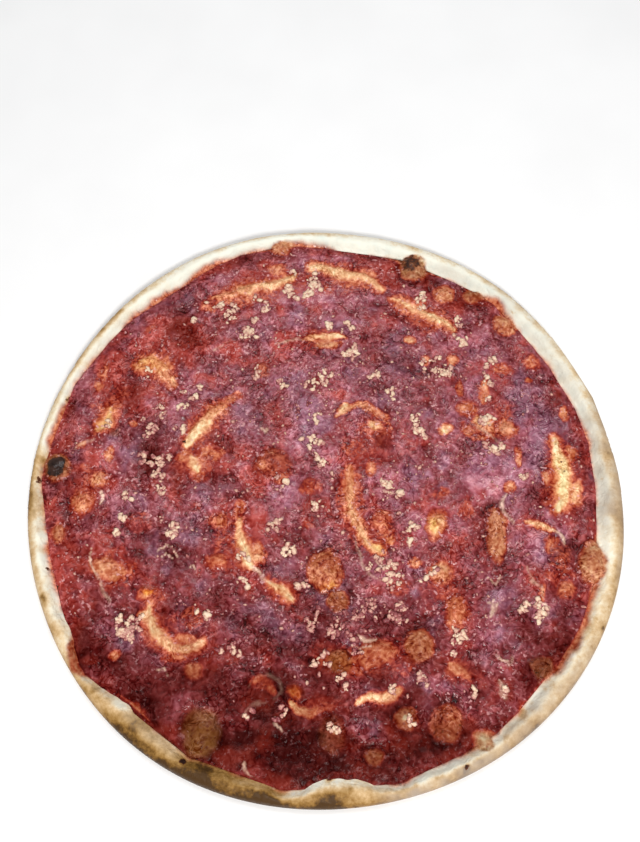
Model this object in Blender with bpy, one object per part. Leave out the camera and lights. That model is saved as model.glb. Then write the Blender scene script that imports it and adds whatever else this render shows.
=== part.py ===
"""A marinara pizza: a thin round dough base with a low rim, under a layer of tomato sauce.

The base has one flat underside. Its blisters and folds stand up through holes in the sauce,
and crumbs of garlic are fused to the sauce. Lengths are in millimetres until add_object, which
makes the meshes in metres. In the plan, +X is to the right, +Y is away from the front, and
the origin is under the middle of the pizza.
"""
import math
import random

import bmesh
import bpy
import numpy as np
from mathutils import Matrix, Vector, noise
from mathutils.geometry import delaunay_2d_cdt

MM = 0.001

# Driving dimensions
OUTER_RADIUS = 158.6
BASE_THICKNESS = 4.5
RIM_HEIGHT = 9.0
SAUCE_RADIUS = 147.2
SAUCE_THICKNESS = 1.7
SAUCE_EDGE_THICKNESS = 0.7
PIECE_GAP = 0.3
HOLE_GAP = 0.36

# Rim section
WIDEST_HEIGHT = 3.6
CREST_SHARE = 0.5
FULL_RIM_WIDTH = 10.0
LEAST_RIM_WIDTH = 6.0
RIM_FOOT_GAP = 0.45
RIM_STEPS = (0.0, 0.22, 0.42, 0.62, 0.82, 0.95, 1.0)
UNDERSIDE_STEPS = ((0.8, 1.6), (2.4, 0.35), (4.2, 0.0))
RIM_SEGMENTS = 120
OUTER_MARGIN = 0.2
RIM_BUMP_HEIGHT = 0.5
RIM_BUMP_LENGTH = 26.0

# Outer wobble: waves round the rim, how far they reach, and the angle of their crest
OUTER_WAVES = (
    (1, 0.4, -141),
    (2, 0.76, -118),
    (3, 0.75, -40),
    (4, 0.5, -141),
    (5, 0.38, -142),
    (6, 0.33, -14),
)

# Lobes of the sauce's edge: angle and half width in degrees, and reach beyond SAUCE_RADIUS
SAUCE_LOBES = (
    (3, 9, -3.2),
    (31, 11, -3.8),
    (45, 3, -1.6),
    (65, 6, -3.0),
    (83, 7, -3.4),
    (107, 13, 2.6),
    (127, 4, -2.6),
    (143, 8, 1.2),
    (157, 5, 3.0),
    (172, 4, 2.8),
    (180, 2.5, 4.5),
    (219, 3, 6.0),
    (233, 5, -2.2),
    (245, 3, 2.4),
    (264, 3, 4.4),
    (273, 5, -5.8),
    (284, 4, 3.0),
    (304, 8, 1.6),
    (316, 4, -2.6),
    (350, 7, -2.0),
)

# Blisters of the dough: centre x and y, half width, half depth, turn in degrees, height
BLISTERS = (
    (-28.0, 146.5, 6.0, 4.8, 0, 3.6),
    (49.0, 134.5, 9.0, 8.0, 0, 5.4),
    (65.5, 118.0, 5.8, 5.5, 0, 3.7),
    (83.0, 117.0, 5.2, 4.6, 0, 3.2),
    (99.5, 98.5, 6.8, 6.4, 0, 4.0),
    (-144.0, 8.5, 7.6, 8.0, 0, 4.8),
    (-57.8, -124.5, 10.2, 12.6, 0, 6.2),
    (1.0, -44.0, 9.2, 11.8, 0, 5.4),
    (7.8, -59.5, 5.6, 5.0, 0, 3.2),
    (139.5, -37.5, 7.4, 12.2, -8, 5.4),
    (48.5, -80.5, 7.8, 8.0, 0, 4.6),
    (61.5, -118.0, 8.0, 9.6, 0, 4.9),
    (6.0, -124.5, 6.6, 9.5, 0, 4.2),
    (42.0, -116.0, 5.6, 5.6, 0, 3.6),
    (26.0, -134.0, 4.4, 4.4, 0, 3.0),
    (109.5, -90.5, 6.2, 4.6, 20, 3.4),
    (90.0, -23.0, 5.6, 14.5, 0, 4.2),
    (58.5, -18.5, 4.4, 7.2, -20, 3.4),
    (60.5, -44.0, 6.2, 6.2, 0, 3.8),
    (67.5, -63.5, 6.0, 9.6, 0, 4.2),
    (27.5, -85.0, 9.6, 7.4, 0, 4.6),
    (9.5, -89.5, 7.2, 6.4, 0, 3.8),
    (29.5, -17.0, 7.2, 5.6, 25, 4.0),
    (-55.0, -40.5, 7.0, 4.8, 0, 3.6),
    (-55.0, -18.5, 6.0, 4.2, 0, 3.2),
    (-128.5, -9.5, 7.0, 6.0, 0, 3.8),
    (-122.0, 3.0, 5.5, 4.2, 20, 3.0),
    (-28.0, 13.0, 10.5, 8.5, 0, 4.2),
    (-8.0, 1.0, 6.0, 5.0, 0, 3.2),
    (-113.0, -45.0, 8.0, 6.0, -15, 3.6),
    (-67.0, -69.5, 6.2, 5.6, 0, 3.6),
    (125.0, -51.5, 5.4, 5.4, 0, 3.4),
    (-64.5, -95.5, 4.5, 4.5, 0, 2.8),
    (77.0, 46.5, 4.2, 4.2, 0, 2.8),
    (98.0, 35.5, 5.5, 4.5, 0, 3.0),
    (79.5, -125.5, 4.8, 4.8, 0, 3.0),
    (-35.5, 68.5, 4.5, 4.5, 0, 2.8),
    (-138.5, -27.0, 4.0, 5.4, 0, 3.0),
    (39.5, -52.0, 6.0, 5.0, 0, 3.2),
    (123.5, -33.0, 6.6, 6.0, 0, 3.6),
    (-98.0, -20.0, 7.5, 6.0, 0, 3.2),
)

# Folds of the dough: half width, height, and the points of the crest line in the plan
FOLDS = (
    (3.8, 3.0, ((-66, 112.5), (-57, 114.5), (-47, 118.5), (-37, 121), (-29, 124), (-20, 128))),
    (3.4, 3.0, ((-11, 132.5), (-4, 135), (3, 132), (10, 130), (18.5, 128.5), (26, 124.5), (31, 120))),
    (3.2, 3.0, ((37, 113), (42, 110.5), (47.5, 108.5), (53, 105), (60, 102), (66.5, 98.5), (71, 95))),
    (2.2, 2.8, ((-12.5, 88.3), (-5, 90), (2, 91), (9, 89.5))),
    (3.6, 2.9, ((-107, 69), (-99, 73.5), (-93, 69.5), (-87.5, 61.5))),
    (3.8, 3.1, ((-116, 43.5), (-117, 36.5), (-122, 30))),
    (3.4, 3.1, ((-56.5, 46.5), (-63, 43.5), (-68.5, 35), (-76.5, 24.5))),
    (3.2, 2.9, ((-73, 17), (-71, 12), (-69.5, 7.5))),
    (3.6, 3.2, ((124.5, 30), (126, 22), (127.7, 14), (128.3, 5), (127, -2), (124.3, -9))),
    (2.6, 3.0, ((12.8, 12.5), (13.3, 0), (13.5, -8.5), (15.5, -15.5), (18.5, -24), (24, -31), (30, -34))),
    (2.4, 2.9, ((-43, -17), (-41.7, -27), (-38.3, -36), (-35, -42.8))),
    (3.0, 3.0, ((-28.5, -50.5), (-22.8, -54), (-16, -58.3))),
    (2.6, 3.0, ((-88.5, -64), (-87, -71.5), (-80.5, -79.5), (-74, -83.8), (-67, -84), (-60, -80))),
    (2.0, 2.7, ((-16, -109.5), (-9.5, -114), (-0.5, -112.5), (8.5, -110.5))),
    (2.8, 3.0, ((17, -108), (24, -105.5), (31, -105), (38, -101.5))),
    (2.2, 2.7, ((107, -17), (114, -18.5), (120, -21))),
    (2.6, 2.9, ((65.5, -89), (69.5, -92), (73.5, -96))),
    (2.2, 2.8, ((5, 42), (10, 46.5), (18, 49.5), (26, 47.5), (33, 42), (37.5, 35))),
    (2.2, 2.8, ((87.5, 63.5), (87, 57), (86, 51))),
    (3.0, 2.9, ((83, 42), (86.5, 38.5), (91, 34))),
)

# Clumps of garlic on the sauce: centre x and y, spread, and how many crumbs
CLUMPS = (
    (-22, 117, 3, 2),
    (-12, 116, 2, 2),
    (-8, 124, 3, 3),
    (-36, 107, 0, 1),
    (-58, 105, 5, 3),
    (-46, 96, 5, 3),
    (-75, 101, 2, 1),
    (52, 114, 2, 1),
    (76, 87, 2, 2),
    (15, 79, 6, 3),
    (63, 68, 7, 4),
    (3, 65, 6, 3),
    (94, 75, 5, 2),
    (52, 35, 4, 3),
    (92, 25, 5, 3),
    (33, 3, 6, 3),
    (-8, 66, 3, 2),
    (7, 97, 4, 2),
    (30, 85, 5, 2),
    (-78, -24, 4, 3),
    (-104, -7, 3, 2),
    (-89, 3, 5, 3),
    (-98, 14, 5, 3),
    (-80, 45, 4, 2),
    (-108, -22, 4, 2),
    (-20, -35, 4, 3),
    (-43, -51, 2, 1),
    (28, -40, 5, 3),
    (46, -24, 4, 2),
    (24, -69, 7, 4),
    (38, -66, 5, 3),
    (-99, -76, 6, 6),
    (-46, -84, 3, 3),
    (50, -98, 4, 2),
    (68, -76, 2, 2),
    (90, -101, 3, 1),
    (89, -86, 3, 1),
    (110, -64, 4, 3),
    (-6, -93, 4, 2),
    (-4, 42, 4, 2),
    (-6, 22, 5, 2),
    (2, -75, 3, 2),
    (105, 8, 5, 2),
    (-20, -15, 5, 2),
)
CRUMB_RADIUS = (1.3, 2.9)
CRUMB_HEIGHT = (0.5, 0.75)
CRUMB_WIDTH = (0.7, 1.0)
CRUMB_SINK = 0.2
CRUMB_FLOOR = 0.2
CRUMB_ROUGHNESS = 0.16
CRUMB_CLEARANCE = 0.6
CRUMB_TRIES = 12
CRUMB_SEED = 7

# Relief of the sauce
GRID_STEP = 11.0
GRID_JITTER = 1.6
GRID_CLEARANCE = 3.5
GRID_SEED = 3
EDGE_ROUNDING = 3.0
SWIRL_STEP = 17.0
SWIRL_HEIGHT = 0.22
LUMP_LENGTH = 21.0
LUMP_HEIGHT = 0.45

# Mesh density
BLISTER_STEPS = (0.82, 0.5)
BLISTER_SIDE_LENGTH = 4.8
BLISTER_SIDES = (8, 14)
BLISTER_POWER = 0.7
FOOT_MARGIN = 1.06
FOLD_STEP = 8.0
FOLD_POWER = 0.8
FOLD_SHOULDER = 0.55
FOLD_CAP_POINTS = 2
FOLD_END_WIDTH = 0.4
FOLD_TAPER_POWER = 0.7
CDT_EPSILON = 1e-4
SMOOTH_ANGLE = math.radians(40)


def outer_radius(angle):
    """Distance from the middle to the outermost line of the rim."""
    radius = OUTER_RADIUS
    for order, reach, crest in OUTER_WAVES:
        radius = radius + reach * np.cos(order * angle - math.radians(crest))
    return radius


def sauce_radius(angle):
    """Distance from the middle to the edge of the sauce."""
    radius = SAUCE_RADIUS
    for at, half_width, reach in SAUCE_LOBES:
        turn = (np.degrees(angle) - at + 180) % 360 - 180
        radius = radius + reach * np.exp(-0.5 * (turn / half_width) ** 2)
    return np.minimum(radius, outer_radius(angle) - LEAST_RIM_WIDTH)


def slow_noise(x, y, length):
    """Rise and fall between -1 and 1 over that length."""
    return np.array([noise.noise(Vector((a, b, 0)) / length) for a, b in zip(x, y)])


def rim_height(x, y):
    """Height of the dough without its blisters and folds."""
    angle = np.arctan2(y, x)
    inner = sauce_radius(angle) + RIM_FOOT_GAP
    width = outer_radius(angle) - inner
    share = np.clip((np.hypot(x, y) - inner) / width, 0, 1)
    rise = (RIM_HEIGHT - BASE_THICKNESS) * np.minimum(1, width / FULL_RIM_WIDTH)
    rise = rise + RIM_BUMP_HEIGHT * slow_noise(x, y, RIM_BUMP_LENGTH)
    inside = BASE_THICKNESS + rise * np.sin(share / CREST_SHARE * math.pi / 2) ** 2
    fall = np.clip((share - CREST_SHARE) / (1 - CREST_SHARE), 0, 1)
    drop = BASE_THICKNESS + rise - WIDEST_HEIGHT
    outside = WIDEST_HEIGHT + drop * np.sqrt(1 - fall**2)
    return np.where(share < CREST_SHARE, inside, outside)


def blister_share(x, y, blister):
    """Distance from a blister's centre, where 1 is its foot."""
    centre_x, centre_y, half_width, half_depth, turn, _ = blister
    cos, sin = math.cos(math.radians(turn)), math.sin(math.radians(turn))
    across = (x - centre_x) * cos + (y - centre_y) * sin
    along = (y - centre_y) * cos - (x - centre_x) * sin
    return np.hypot(across / half_width, along / half_depth)


def line_distance(x, y, line, widths=None):
    """Distance in the plan to a line of points, as a share of its width there if it has one."""
    widths = np.ones(len(line)) if widths is None else widths
    nearest = np.full(np.shape(x), np.inf)
    for (ax, ay), (bx, by), start, end in zip(line, line[1:], widths, widths[1:]):
        dx, dy = bx - ax, by - ay
        share = np.clip(((x - ax) * dx + (y - ay) * dy) / (dx * dx + dy * dy), 0, 1)
        distance = np.hypot(x - ax - share * dx, y - ay - share * dy)
        nearest = np.minimum(nearest, distance / (start + (end - start) * share))
    return nearest


def dough_height(x, y, fold_lines):
    """Height of the top of the dough base, with its rim, blisters and folds."""
    height = rim_height(x, y)
    for blister in BLISTERS:
        share = FOOT_MARGIN * blister_share(x, y, blister)
        dome = np.clip(1 - share**2, 0, 1) ** BLISTER_POWER
        height = np.maximum(height, BASE_THICKNESS + blister[5] * dome)
    for (half_width, rise, _), line in zip(FOLDS, fold_lines):
        share = FOOT_MARGIN * line_distance(x, y, line, fold_widths(half_width, len(line)))
        ridge = np.clip(1 - share**2, 0, 1) ** FOLD_POWER
        height = np.maximum(height, BASE_THICKNESS + rise * ridge)
    return height


def smooth_line(points, step):
    """A curve through the points, with a point about every step."""
    inner = np.array(points, float)
    rail = np.vstack([2 * inner[0] - inner[1], inner, 2 * inner[-1] - inner[-2]])
    line = []
    for before, start, end, after in zip(rail, rail[1:], rail[2:], rail[3:]):
        count = max(1, round(np.linalg.norm(end - start) / step))
        for t in np.arange(count) / count:
            pull = end - before
            push = after - start
            bend = 2 * start - 2 * end + 0.5 * (pull + push)
            lean = 3 * (end - start) - pull - 0.5 * push
            line.append(start + 0.5 * pull * t + lean * t**2 + bend * t**3)
    line.append(rail[-2])
    return line


def ring(radius, angles):
    return [(r * math.cos(a), r * math.sin(a)) for r, a in zip(radius, angles)]


def blister_ring(blister, scale, clearance, sides):
    """Corners round an ellipse, at a share of the blister's size, whose edges stay outside it."""
    centre_x, centre_y, half_width, half_depth, turn, _ = blister
    scale /= math.cos(math.pi / sides)
    spin = math.radians(turn)
    points = []
    for angle in np.arange(sides) / sides * math.tau:
        across = (half_width * scale + clearance) * math.cos(angle)
        along = (half_depth * scale + clearance) * math.sin(angle)
        x = centre_x + across * math.cos(spin) - along * math.sin(spin)
        y = centre_y + across * math.sin(spin) + along * math.cos(spin)
        points.append((x, y))
    return points


def blister_sides(blister):
    rough = math.tau * (blister[2] + blister[3]) / 2 / BLISTER_SIDE_LENGTH
    return int(np.clip(round(rough), *BLISTER_SIDES))


def fold_widths(half_width, count):
    """Half widths along a fold, which narrows to its ends."""
    middle = np.sin(np.linspace(0, math.pi, count)) ** FOLD_TAPER_POWER
    return half_width * (FOLD_END_WIDTH + (1 - FOLD_END_WIDTH) * middle)


def fold_outline(line, reaches):
    """The closed outline at those reaches from the points of a line."""
    line = np.array(line)
    runs = np.diff(line, axis=0)
    runs /= np.linalg.norm(runs, axis=1)[:, None]
    runs = np.vstack([runs[:1], runs, runs[-1:]])
    heading = runs[:-1] + runs[1:]
    heading /= np.linalg.norm(heading, axis=1)[:, None]
    mitre = 1 / (heading * runs[1:]).sum(1)
    side = np.stack([-heading[:, 1], heading[:, 0]], 1) * mitre[:, None]
    side *= np.asarray(reaches)[:, None]
    outline = list(line - side)
    for end, start_angle in ((-1, -math.pi / 2), (0, math.pi / 2)):
        facing = math.atan2(heading[end][1], heading[end][0]) + start_angle
        corner = reaches[end] / math.cos(math.pi / 2 / FOLD_CAP_POINTS)
        for step in range(FOLD_CAP_POINTS):
            turn = facing + math.pi * (step + 0.5) / FOLD_CAP_POINTS
            outline.append(line[end] + corner * np.array((math.cos(turn), math.sin(turn))))
        if end == -1:
            outline += list((line + side)[::-1])
    return [tuple(p) for p in outline]


def inside_outline(x, y, outline):
    """Which of the points lie inside a closed outline."""
    inside = np.zeros(np.shape(x), bool)
    for (ax, ay), (bx, by) in zip(outline, outline[1:] + outline[:1]):
        if ay == by:
            continue
        crossed = (ay > y) != (by > y)
        inside ^= crossed & (x < ax + (y - ay) / (by - ay) * (bx - ax))
    return inside


def triangulate(loose, loops, keep):
    """Triangles over the points, with the closed loops as edges, where keep allows them."""
    points = [Vector(p) for p in loose]
    edges = []
    for loop in loops:
        first = len(points)
        points += [Vector(p) for p in loop]
        edges += [(first + i, first + (i + 1) % len(loop)) for i in range(len(loop))]
    found, _, faces, *_ = delaunay_2d_cdt(points, edges, [], 0, CDT_EPSILON)
    flat = np.array(found)
    middles = np.array([flat[list(face)].mean(0) for face in faces])
    kept = [list(face) for face, good in zip(faces, keep(middles[:, 0], middles[:, 1])) if good]
    used = sorted({i for face in kept for i in face})
    place = {old: new for new, old in enumerate(used)}
    return flat[used], [[place[i] for i in face] for face in kept]


def boundary_edges(faces):
    """The edges with a face on one side only, each in its face's direction."""
    sides = {(face[i], face[(i + 1) % len(face)]) for face in faces for i in range(len(face))}
    return [(a, b) for a, b in sides if (b, a) not in sides]


def add_object(name, points, faces, material):
    mesh = bpy.data.meshes.new(name)
    mesh.from_pydata([Vector(p) * MM for p in points], [], faces)
    mesh.materials.append(material)
    body = bmesh.new()
    body.from_mesh(mesh)
    bmesh.ops.recalc_face_normals(body, faces=body.faces)
    body.to_mesh(mesh)
    body.free()
    mesh.shade_smooth()
    mesh.set_sharp_from_angle(angle=SMOOTH_ANGLE)
    piece = bpy.data.objects.new(name, mesh)
    bpy.context.scene.collection.objects.link(piece)
    return piece


def principled(name, colour, roughness):
    material = bpy.data.materials.new(name)
    material.use_nodes = True
    shader = material.node_tree.nodes["Principled BSDF"]
    shader.inputs["Base Color"].default_value = (*colour, 1)
    shader.inputs["Roughness"].default_value = roughness
    shader.inputs["Metallic"].default_value = 0
    return material


def make_crust(fold_lines):
    """The dough base: a height field out to its widest line, then the rounded underside."""
    angles = np.arange(RIM_SEGMENTS) / RIM_SEGMENTS * math.tau
    outer = outer_radius(angles)
    inner = sauce_radius(angles) + RIM_FOOT_GAP
    rings = [ring(inner + (outer - inner) * share, angles) for share in RIM_STEPS]
    loose = [p for steps in rings[1:-1] for p in steps]
    loops = [rings[0], rings[-1]]
    for blister in BLISTERS:
        sides = blister_sides(blister)
        loops.append(blister_ring(blister, 1, 0, sides))
        loose += blister_ring(blister, BLISTER_STEPS[0], 0, sides)
        loose += blister_ring(blister, BLISTER_STEPS[1], 0, sides // 2)
        loose.append(blister[:2])
    for (half_width, _, _), line in zip(FOLDS, fold_lines):
        widths = fold_widths(half_width, len(line))
        loops.append(fold_outline(line, widths))
        loose += fold_outline(line, widths * FOLD_SHOULDER)
        loose += [tuple(p) for p in line]
    x, y = np.array(loose).T
    inside = np.hypot(x, y) < outer_radius(np.arctan2(y, x)) - OUTER_MARGIN
    loose = [p for p, kept in zip(loose, inside) if kept]
    flat, faces = triangulate(loose, loops, lambda x, y: x == x)
    heights = dough_height(flat[:, 0], flat[:, 1], fold_lines)
    rim = dict(boundary_edges(faces))
    start = next(iter(rim))
    line = [start]
    while rim[line[-1]] != start:
        line.append(rim[line[-1]])
    heights[line] = WIDEST_HEIGHT
    points = [(x, y, z) for (x, y), z in zip(flat, heights)]
    above = line
    for inset, height in UNDERSIDE_STEPS:
        below = []
        for i in line:
            x, y = flat[i]
            shrink = 1 - inset / math.hypot(x, y)
            below.append(len(points))
            points.append((x * shrink, y * shrink, height))
        for i, top in enumerate(above):
            after = (i + 1) % len(above)
            faces.append([top, below[i], below[after], above[after]])
        above = below
    faces.append(above[::-1])
    return add_object("crust", points, faces, principled("baked dough", (0.62, 0.43, 0.22), 0.65))


def sauce_height(x, y, outlines):
    """Height of the top of the sauce: full inside, and lower at its edges and holes."""
    base = BASE_THICKNESS + PIECE_GAP
    swirl = np.sin(np.hypot(x, y) / SWIRL_STEP * math.tau)
    lumps = slow_noise(x, y, LUMP_LENGTH)
    full = SAUCE_THICKNESS + SWIRL_HEIGHT * swirl + LUMP_HEIGHT * lumps
    nearest = np.full(np.shape(x), np.inf)
    for outline in outlines:
        nearest = np.minimum(nearest, line_distance(x, y, outline + outline[:1]))
    rounding = np.sqrt(np.clip(nearest / EDGE_ROUNDING, 0, 1))
    return base + SAUCE_EDGE_THICKNESS + (full - SAUCE_EDGE_THICKNESS) * rounding


def sauce_outlines(fold_lines):
    """The sauce's outer edge, and the outlines of its holes."""
    angles = np.arange(RIM_SEGMENTS) / RIM_SEGMENTS * math.tau
    edge = ring(sauce_radius(angles), angles)
    holes = [blister_ring(b, 1, HOLE_GAP, blister_sides(b)) for b in BLISTERS]
    for (half_width, _, _), line in zip(FOLDS, fold_lines):
        holes.append(fold_outline(line, fold_widths(half_width, len(line)) + HOLE_GAP))
    return edge, holes


def make_sauce(edge, holes):
    """The layer of sauce, flat below and lumpy above, with a hole round each blister and fold."""

    def in_sauce(x, y):
        kept = inside_outline(x, y, edge)
        for hole in holes:
            kept &= ~inside_outline(x, y, hole)
        return kept

    rng = random.Random(GRID_SEED)
    loose = []
    rows = int(SAUCE_RADIUS // GRID_STEP) + 1
    for row in range(-rows, rows + 1):
        for column in range(-rows, rows + 1):
            x = (column + 0.5 * (row % 2)) * GRID_STEP + rng.uniform(-GRID_JITTER, GRID_JITTER)
            y = row * GRID_STEP * math.sin(math.pi / 3) + rng.uniform(-GRID_JITTER, GRID_JITTER)
            loose.append((x, y))
    x, y = np.array(loose).T
    clear = in_sauce(x, y)
    for outline in [edge, *holes]:
        clear &= line_distance(x, y, outline + outline[:1]) > GRID_CLEARANCE
    loose = [p for p, good in zip(loose, clear) if good]
    flat, top = triangulate(loose, [edge, *holes], in_sauce)
    heights = sauce_height(flat[:, 0], flat[:, 1], [edge, *holes])
    sides = boundary_edges(top)
    rim = sorted({i for side in sides for i in side})
    place = {old: new for new, old in enumerate(rim)}
    low_points = [Vector(flat[i]) for i in rim]
    low_edges = [(place[a], place[b]) for a, b in sides]
    found, _, low_faces, *_ = delaunay_2d_cdt(low_points, low_edges, [], 0, CDT_EPSILON)
    middles = np.array([np.mean([found[i] for i in face], 0) for face in low_faces])
    first = len(flat)
    low = in_sauce(middles[:, 0], middles[:, 1])
    bottom = [[first + i for i in face][::-1] for face, good in zip(low_faces, low) if good]
    walls = [[b, a, first + place[a], first + place[b]] for a, b in sides]
    under = BASE_THICKNESS + PIECE_GAP
    points = [(x, y, z) for (x, y), z in zip(flat, heights)]
    points += [(p[0], p[1], under) for p in found]
    material = principled("tomato sauce", (0.2, 0.035, 0.03), 0.3)
    return add_object("sauce", points, top + bottom + walls, material)


def make_crumbs(sauce, edge, holes, collection):
    """Garlic crumbs that sit in the top of the sauce, clear of the dough."""
    rng = random.Random(CRUMB_SEED)
    outlines = [edge, *holes]
    for centre_x, centre_y, spread, count in CLUMPS:
        for _ in range(count):
            for _ in range(CRUMB_TRIES):
                radius = rng.uniform(*CRUMB_RADIUS)
                x, y = rng.gauss(centre_x, spread / 2), rng.gauss(centre_y, spread / 2)
                place = np.array([x]), np.array([y])
                room = min(line_distance(*place, o + o[:1])[0] for o in outlines)
                inside = inside_outline(*place, edge)[0]
                hidden = any(inside_outline(*place, hole)[0] for hole in holes)
                if inside and not hidden and room > radius + CRUMB_CLEARANCE:
                    above = Vector((x, y, 2 * RIM_HEIGHT)) * MM
                    _, surface, _, _ = sauce.ray_cast(above, Vector((0, 0, -1)))
                    add_crumb(rng, (x, y), radius, surface.z / MM, collection)
                    break


def add_crumb(rng, centre, radius, surface, collection):
    body = bmesh.new()
    bmesh.ops.create_icosphere(body, subdivisions=1, radius=1)
    for vertex in body.verts:
        vertex.co *= 1 + rng.uniform(-CRUMB_ROUGHNESS, CRUMB_ROUGHNESS)
    height = radius * rng.uniform(*CRUMB_HEIGHT)
    lowest = BASE_THICKNESS + PIECE_GAP + CRUMB_FLOOR + height * (1 + CRUMB_ROUGHNESS)
    stretch = Matrix.Diagonal((radius, radius * rng.uniform(*CRUMB_WIDTH), height, 1))
    turn = Matrix.Rotation(rng.uniform(0, math.tau), 4, "Z")
    spot = Matrix.Translation((*centre, max(surface + CRUMB_SINK * height, lowest)))
    body.transform(Matrix.Scale(MM, 4) @ spot @ turn @ stretch)
    mesh = bpy.data.meshes.new("crumb")
    body.to_mesh(mesh)
    body.free()
    collection.objects.link(bpy.data.objects.new("crumb", mesh))


def fuse(piece, collection):
    """Joins everything in the collection to the piece, and removes the collection."""
    union = piece.modifiers.new("crumbs", "BOOLEAN")
    union.operation = "UNION"
    union.operand_type = "COLLECTION"
    union.collection = collection
    union.solver = "EXACT"
    evaluated = piece.evaluated_get(bpy.context.evaluated_depsgraph_get())
    joined = bpy.data.meshes.new_from_object(evaluated)
    piece.modifiers.remove(union)
    piece.data = joined
    for crumb in list(collection.objects):
        bpy.data.objects.remove(crumb)
    bpy.data.collections.remove(collection)
    joined.shade_smooth()
    joined.set_sharp_from_angle(angle=SMOOTH_ANGLE)


def main():
    for old in list(bpy.data.objects):
        bpy.data.objects.remove(old)
    fold_lines = [smooth_line(points, FOLD_STEP) for _, _, points in FOLDS]
    make_crust(fold_lines)
    edge, holes = sauce_outlines(fold_lines)
    sauce = make_sauce(edge, holes)
    crumbs = bpy.data.collections.new("crumbs")
    bpy.context.scene.collection.children.link(crumbs)
    make_crumbs(sauce, edge, holes, crumbs)
    fuse(sauce, crumbs)


main()
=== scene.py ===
"""The looks of a marinara pizza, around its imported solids.

The dough base, the sauce and the garlic crumbs are fine meshes in place of the plain solids.
Lengths are in millimetres until a mesh is made in metres. In the plan, +X is to the right, +Y
is away from the front, and the origin is under the middle of the pizza.
"""
import math
from collections import namedtuple

import bmesh
import bpy
import numpy as np
from mathutils import Matrix, Vector, noise
from mathutils.geometry import delaunay_2d_cdt


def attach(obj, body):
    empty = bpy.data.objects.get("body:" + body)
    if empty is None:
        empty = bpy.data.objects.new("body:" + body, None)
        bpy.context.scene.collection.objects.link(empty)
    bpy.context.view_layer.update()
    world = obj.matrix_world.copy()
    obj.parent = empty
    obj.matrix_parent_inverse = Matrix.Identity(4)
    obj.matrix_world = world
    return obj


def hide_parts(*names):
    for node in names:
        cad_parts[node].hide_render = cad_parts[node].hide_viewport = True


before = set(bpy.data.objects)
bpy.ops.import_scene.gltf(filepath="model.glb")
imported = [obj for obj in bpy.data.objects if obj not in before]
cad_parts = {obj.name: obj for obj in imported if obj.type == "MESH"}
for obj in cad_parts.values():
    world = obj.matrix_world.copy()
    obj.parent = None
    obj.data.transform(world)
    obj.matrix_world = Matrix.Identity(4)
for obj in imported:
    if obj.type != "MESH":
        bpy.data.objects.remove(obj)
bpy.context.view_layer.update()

MM = 0.001

# The solids' own sizes
OUTER_RADIUS = 158.6
BASE_THICKNESS = 4.5
RIM_HEIGHT = 9.0
SAUCE_RADIUS = 147.2
SAUCE_THICKNESS = 1.7
PIECE_GAP = 0.3
WIDEST_HEIGHT = 3.6
CREST_SHARE = 0.5
FULL_RIM_WIDTH = 10.0
LEAST_RIM_WIDTH = 6.0
RIM_FOOT_GAP = 0.45
RIM_BUMP_HEIGHT = 0.5
RIM_BUMP_LENGTH = 26.0
SWIRL_STEP = 17.0
SWIRL_HEIGHT = 0.22
LUMP_LENGTH = 21.0
LUMP_HEIGHT = 0.45
BLISTER_POWER = 0.7
FOLD_STEP = 3.0
FOLD_POWER = 0.8
FOLD_END_WIDTH = 0.4
FOLD_TAPER_POWER = 0.7

# How far in from the widest line each ring of the rounded underside lies, and how high
UNDERSIDE_STEPS = ((0.25, 2.7), (0.8, 1.6), (1.5, 0.85), (2.4, 0.35), (4.2, 0.0))

# How far outlines are pushed aside, over which lengths
WARP_REACH = 1.5
WARP_LENGTH = 8.0
FINE_WARP_REACH = 0.5
FINE_WARP_LENGTH = 2.6

# Relief of the dough: how rough its skin is, how much lower a blister's top is than the solid's,
# and the pimples of the rim
SKIN_HEIGHT = 0.16
BLISTER_TRIM = 0.2
PIMPLE_HEIGHT = 0.25
FINE_PIMPLE_HEIGHT = 0.10

# Relief of the sauce: its lumps, its dips at the feet of blisters, its least thickness, and how
# it thins out to its outer edge
RELIEF_HEIGHT = 0.75
DIP_DEPTH = 0.5
DIP_SHARE = 1.12
DIP_WIDTH = 0.12
LEAST_SAUCE = 0.4
EDGE_SAUCE = 0.35
FEATHER_WIDTH = 4.5

# How far the sauce lies under and over the dough of a blister: inside it, and at its foot
CLIMB_LOW = -0.22
CLIMB_HIGH = 0.15
FILLET = 1.3

# The middle of the rings in which the sauce was spread
SWIRL_CENTRE = (12.0, 8.0)

# The large low bubble under the sauce: centre, half width and half depth
BUBBLE = (20.0, 30.0, 19.0, 20.0)
BUBBLE_HEIGHT = 1.3
BUBBLE_POWER = 0.8

# The dough's mesh: distance between points where it shows and under the sauce, points round it,
# how far the fine part reaches under the sauce, and how far its outline stays in
DOUGH_STEP = 1.05
HIDDEN_STEP = 5.0
RIM_POINTS = 960
DOUGH_MARGIN = 2.0
OUTLINE_TRIM = 0.06

# The sauce's mesh: distance between points, points round its edge, and how far under the dough
# it is cut away
SAUCE_STEP = 1.0
SAUCE_EDGE_POINTS = 940
BURIED = 0.12

# How far beyond the mean radius points may lie, and how many steps they keep from the outline
PLAN_MARGIN = 8
LEAST_SPACING = 0.6

# Points nearer than this are one, and a distance that stands for far away
SAME_POINT = 1e-4
SAME_CORNER = 1e-6
FAR = 1e3

# How softly stretches of browning and of flour end across the rim, as shares of its width
STRETCH_BLUR = 0.24
FLOUR_BLUR = 0.3

# How dark the ring round a half sunk blister is, beside that round a full one
SUNK_RING = 0.35

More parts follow.
